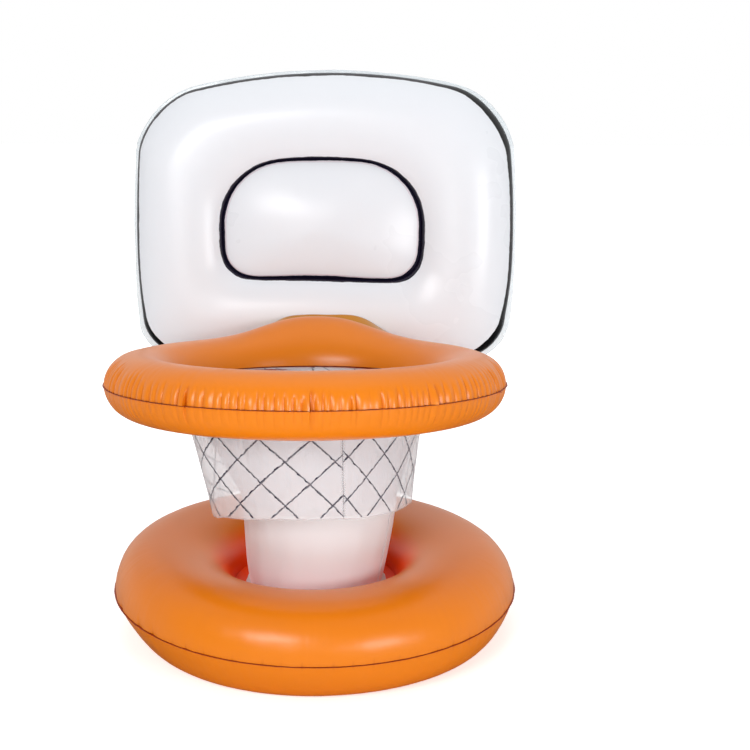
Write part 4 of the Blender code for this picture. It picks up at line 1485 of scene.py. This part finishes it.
def buildValve(name, holder):
    spec = valve
    edgeRound, broadRound = spec["round"], spec["broadRound"]
    stemRadius, collarRadius, bore = spec["stemRadius"], spec["collarRadius"], spec["bore"]
    place, collarTop, hingeHeight = valvePlace(name)
    base = -spec["seat"] + spec["gap"]
    sheetTop = base + spec["sheet"]
    pocket = stemRadius + spec["gap"]
    flange = spinSection(
        [(pocket, base), (spec["flangeRadius"], base), (spec["flangeRadius"], base + 0.0005),
         (collarRadius + broadRound, sheetTop), (pocket, sheetTop)],
        spec["steps"], True,
    )
    finishPiece(
        name + "ValveFlange", flange, place, valveVinyl, holder, [name + "_valve_flange"],
    )

    collarBase = collarTop - spec["collar"]
    foot = collarBase - spec["length"]
    floor = collarTop - spec["plugLength"] - 2 * spec["gap"]
    outline = [(0.0, foot), (stemRadius - broadRound, foot), (stemRadius, foot + broadRound)]
    for index in range(1, spec["ribs"] + 1):
        height = foot + broadRound + (collarBase - foot - 0.003) * index / (spec["ribs"] + 1)
        outline += [(stemRadius, height - edgeRound), (stemRadius - edgeRound, height)]
        outline.append((stemRadius, height + edgeRound))
    outline += [
        (stemRadius, collarBase), (collarRadius, collarBase), (collarRadius, collarTop - edgeRound),
        (collarRadius - edgeRound, collarTop), (bore + edgeRound, collarTop), (bore, collarTop - edgeRound),
        (bore, floor), (0.0, floor),
    ]
    stem = spinSection(outline, spec["steps"])
    finishPiece(
        name + "ValveStem", stem, place, valveVinyl, name + "_stem", [name + "_valve_stem"],
    )

    half = spec["capThickness"] / 2
    low = -half - spec["plugLength"]
    tip, cap = spec["tip"], spec["cap"]
    outline = [
        (0.0, low), (tip - edgeRound, low), (tip, low + edgeRound), (spec["plug"], -half), (cap, -half),
        (cap, half - edgeRound), (cap - edgeRound, half), (cap - 6 * edgeRound, half - edgeRound),
        (0.0, half - edgeRound),
    ]
    plug = spinSection(outline, spec["steps"])
    strap = bmesh.new()
    bmesh.ops.create_cube(strap, size=1)
    length = spec["hinge"] - cap * 0.5
    bmesh.ops.scale(strap, verts=strap.verts, vec=(length, spec["strapWidth"], spec["strap"]))
    bmesh.ops.translate(strap, verts=strap.verts, vec=(cap * 0.5 + length / 2, 0, 0))
    softEdges(strap, spec["strapRound"])
    loop = bmesh.new()
    bmesh.ops.create_cone(
        loop, cap_ends=True, segments=20, radius1=half, radius2=half,
        depth=spec["strapWidth"] + spec["strap"],
        matrix=Matrix.Translation((spec["hinge"], 0, 0)) @ Matrix.Rotation(math.pi / 2, 4, "X"),
    )
    softEdges(loop, spec["hingeRound"])
    lift = place @ Matrix.Translation((0, 0, hingeHeight))
    plugNode = [name + "_valve_plug"]
    for part, bm, nodes in (("Plug", plug, plugNode), ("Strap", strap, []), ("Hinge", loop, [])):
        finishPiece(name + "Valve" + part, bm, lift, valveVinyl, name + "_plug", nodes)


for valveName, holder in (("base", "toy"), ("column", "toy"), ("rim", "toy"), ("board", "board")):
    buildValve(valveName, holder)
print("stage: valves built")


# floor, lights and camera


studio = {
    "softboxes": [  # name, azimuth from the front to the right, elevation, distance, width, height, power
        ("leftSoftbox", -20, 27, 2.6, 1.1, 0.55, 24.5),
        ("rightSoftbox", 40, 12, 2.6, 1.0, 0.50, 18.5),
        ("lowLeftSoftbox", -10, 11, 2.6, 0.5, 0.28, 2.0),
        ("lowRightSoftbox", 17, 11, 2.6, 0.4, 0.24, 1.2),
        ("topSoftbox", 180, 76, 2.8, 2.4, 2.4, 23),
    ],
    "aimHeight": 0.3,
    "fill": 0.46,
    "mirrorBack": (-0.60, 0.35, 0.02, 0.85),  # what the toy mirrors, from the front to the back
    "mirrorLow": (-0.6, 0.0, 0.04, 1.0),  # darker where it mirrors the ground that it shades
    "floorColour": (0.88, 0.88, 0.88, 1),
    "floorGlow": (0.35, 1.20, 0.55, 0.88),  # distances, and how much it glows there
    "floorBounce": 0.25,
    "floorHalf": 6,
    "floorDrop": 0.0002,
    "lens": 76.8,
    "camera": (0.1591, -2.3358, 1.0413),  # from the ring's middle, and from the floor
    "cameraTurn": (math.pi / 2 - 0.2655, 0, 0.0262),
    "white": (1, 1, 1, 1),
}


def addSoftbox(name, side, rise, distance, width, height, power):
    # the light faces the toy
    side, rise = math.radians(side), math.radians(rise)
    towards = Vector((math.sin(side) * math.cos(rise), -math.cos(side) * math.cos(rise), math.sin(rise)))
    lamp = bpy.data.lights.new(name, "AREA")
    lamp.shape = "RECTANGLE"
    lamp.size, lamp.size_y = width, height
    lamp.energy = power
    softbox = bpy.data.objects.new(name, lamp)
    bpy.context.scene.collection.objects.link(softbox)
    softbox.location = Vector((0, ringCentre.y, studio["aimHeight"])) + towards * distance
    softbox.rotation_euler = (-towards).to_track_quat("-Z", "Y").to_euler()
    return softbox


def paleMaterial():
    # a pale floor that shows white to the camera, most of all far from the toy, and keeps the shadow
    material = bpy.data.materials.new("paleFloor")
    material.use_nodes = True
    tree = material.node_tree
    shader = tree.nodes["Principled BSDF"].inputs
    shader["Base Color"].default_value = studio["floorColour"]
    shader["Roughness"].default_value = 0.9
    shader["Emission Color"].default_value = studio["white"]
    place = addNode(tree, "TexCoord").outputs["Object"]
    away = addNode(tree, "VectorMath", {0: place}, operation="LENGTH").outputs["Value"]
    glow = mapRange(tree, away, *studio["floorGlow"])
    path = addNode(tree, "LightPath").outputs
    bounce = maths(tree, "MULTIPLY", path["Is Diffuse Ray"], studio["floorBounce"])
    shown = maths(tree, "ADD", maths(tree, "MULTIPLY", glow, path["Is Camera Ray"]), bounce)
    tree.links.new(shown, shader["Emission Strength"])
    return material


def buildFloor():
    bm = bmesh.new()
    bmesh.ops.create_grid(bm, x_segments=1, y_segments=1, size=studio["floorHalf"])
    mesh = bpy.data.meshes.new("floor")
    bm.to_mesh(mesh)
    bm.free()
    mesh.materials.append(paleMaterial())
    floor = bpy.data.objects.new("floor", mesh)
    floor.location.z = -studio["floorDrop"]
    bpy.context.scene.collection.objects.link(floor)
    floor.visible_glossy = False


def buildWorld():
    # an even fill, and a white surround for the camera that the toy mirrors dimly
    world = bpy.data.worlds.new("studio")
    bpy.context.scene.world = world
    world.use_nodes = True
    tree = world.node_tree
    tree.nodes.clear()
    place = addNode(tree, "TexCoord").outputs["Generated"]
    split = addNode(tree, "SeparateXYZ", {"Vector": place}).outputs
    back = mapRange(tree, split["Y"], *studio["mirrorBack"])
    low = mapRange(tree, split["Z"], *studio["mirrorLow"])
    path = addNode(tree, "LightPath").outputs
    seen = maths(tree, "MAXIMUM", maths(tree, "MULTIPLY", back, low), path["Is Camera Ray"])
    direct = maths(tree, "MAXIMUM", path["Is Camera Ray"], path["Is Glossy Ray"])
    through = maths(tree, "MAXIMUM", direct, path["Is Transmission Ray"])
    fill = addNode(tree, "Background", {"Color": studio["white"], "Strength": studio["fill"]}).outputs[0]
    shown = addNode(tree, "Background", {"Color": studio["white"], "Strength": seen}).outputs[0]
    mix = addNode(tree, "MixShader", {"Fac": through, 1: fill, 2: shown}).outputs[0]
    addNode(tree, "OutputWorld", {"Surface": mix})


def buildStudio():
    buildFloor()
    for box in studio["softboxes"]:
        softbox = addSoftbox(*box)
    softbox.visible_glossy = False  # the top one lights the toy and leaves no bright patch on it
    buildWorld()
    lens = bpy.data.cameras.new("photoCamera")
    lens.lens = studio["lens"]
    lens.sensor_width = 36
    lens.clip_start, lens.clip_end = 0.1, 30
    camera = bpy.data.objects.new("photoCamera", lens)
    camera.location = Vector(studio["camera"]) + Vector((0, ringCentre.y, 0))
    camera.rotation_euler = studio["cameraTurn"]
    bpy.context.scene.collection.objects.link(camera)
    bpy.context.scene.camera = camera
    bpy.context.scene.view_settings.view_transform = "Standard"


buildStudio()
print("stage: studio set")
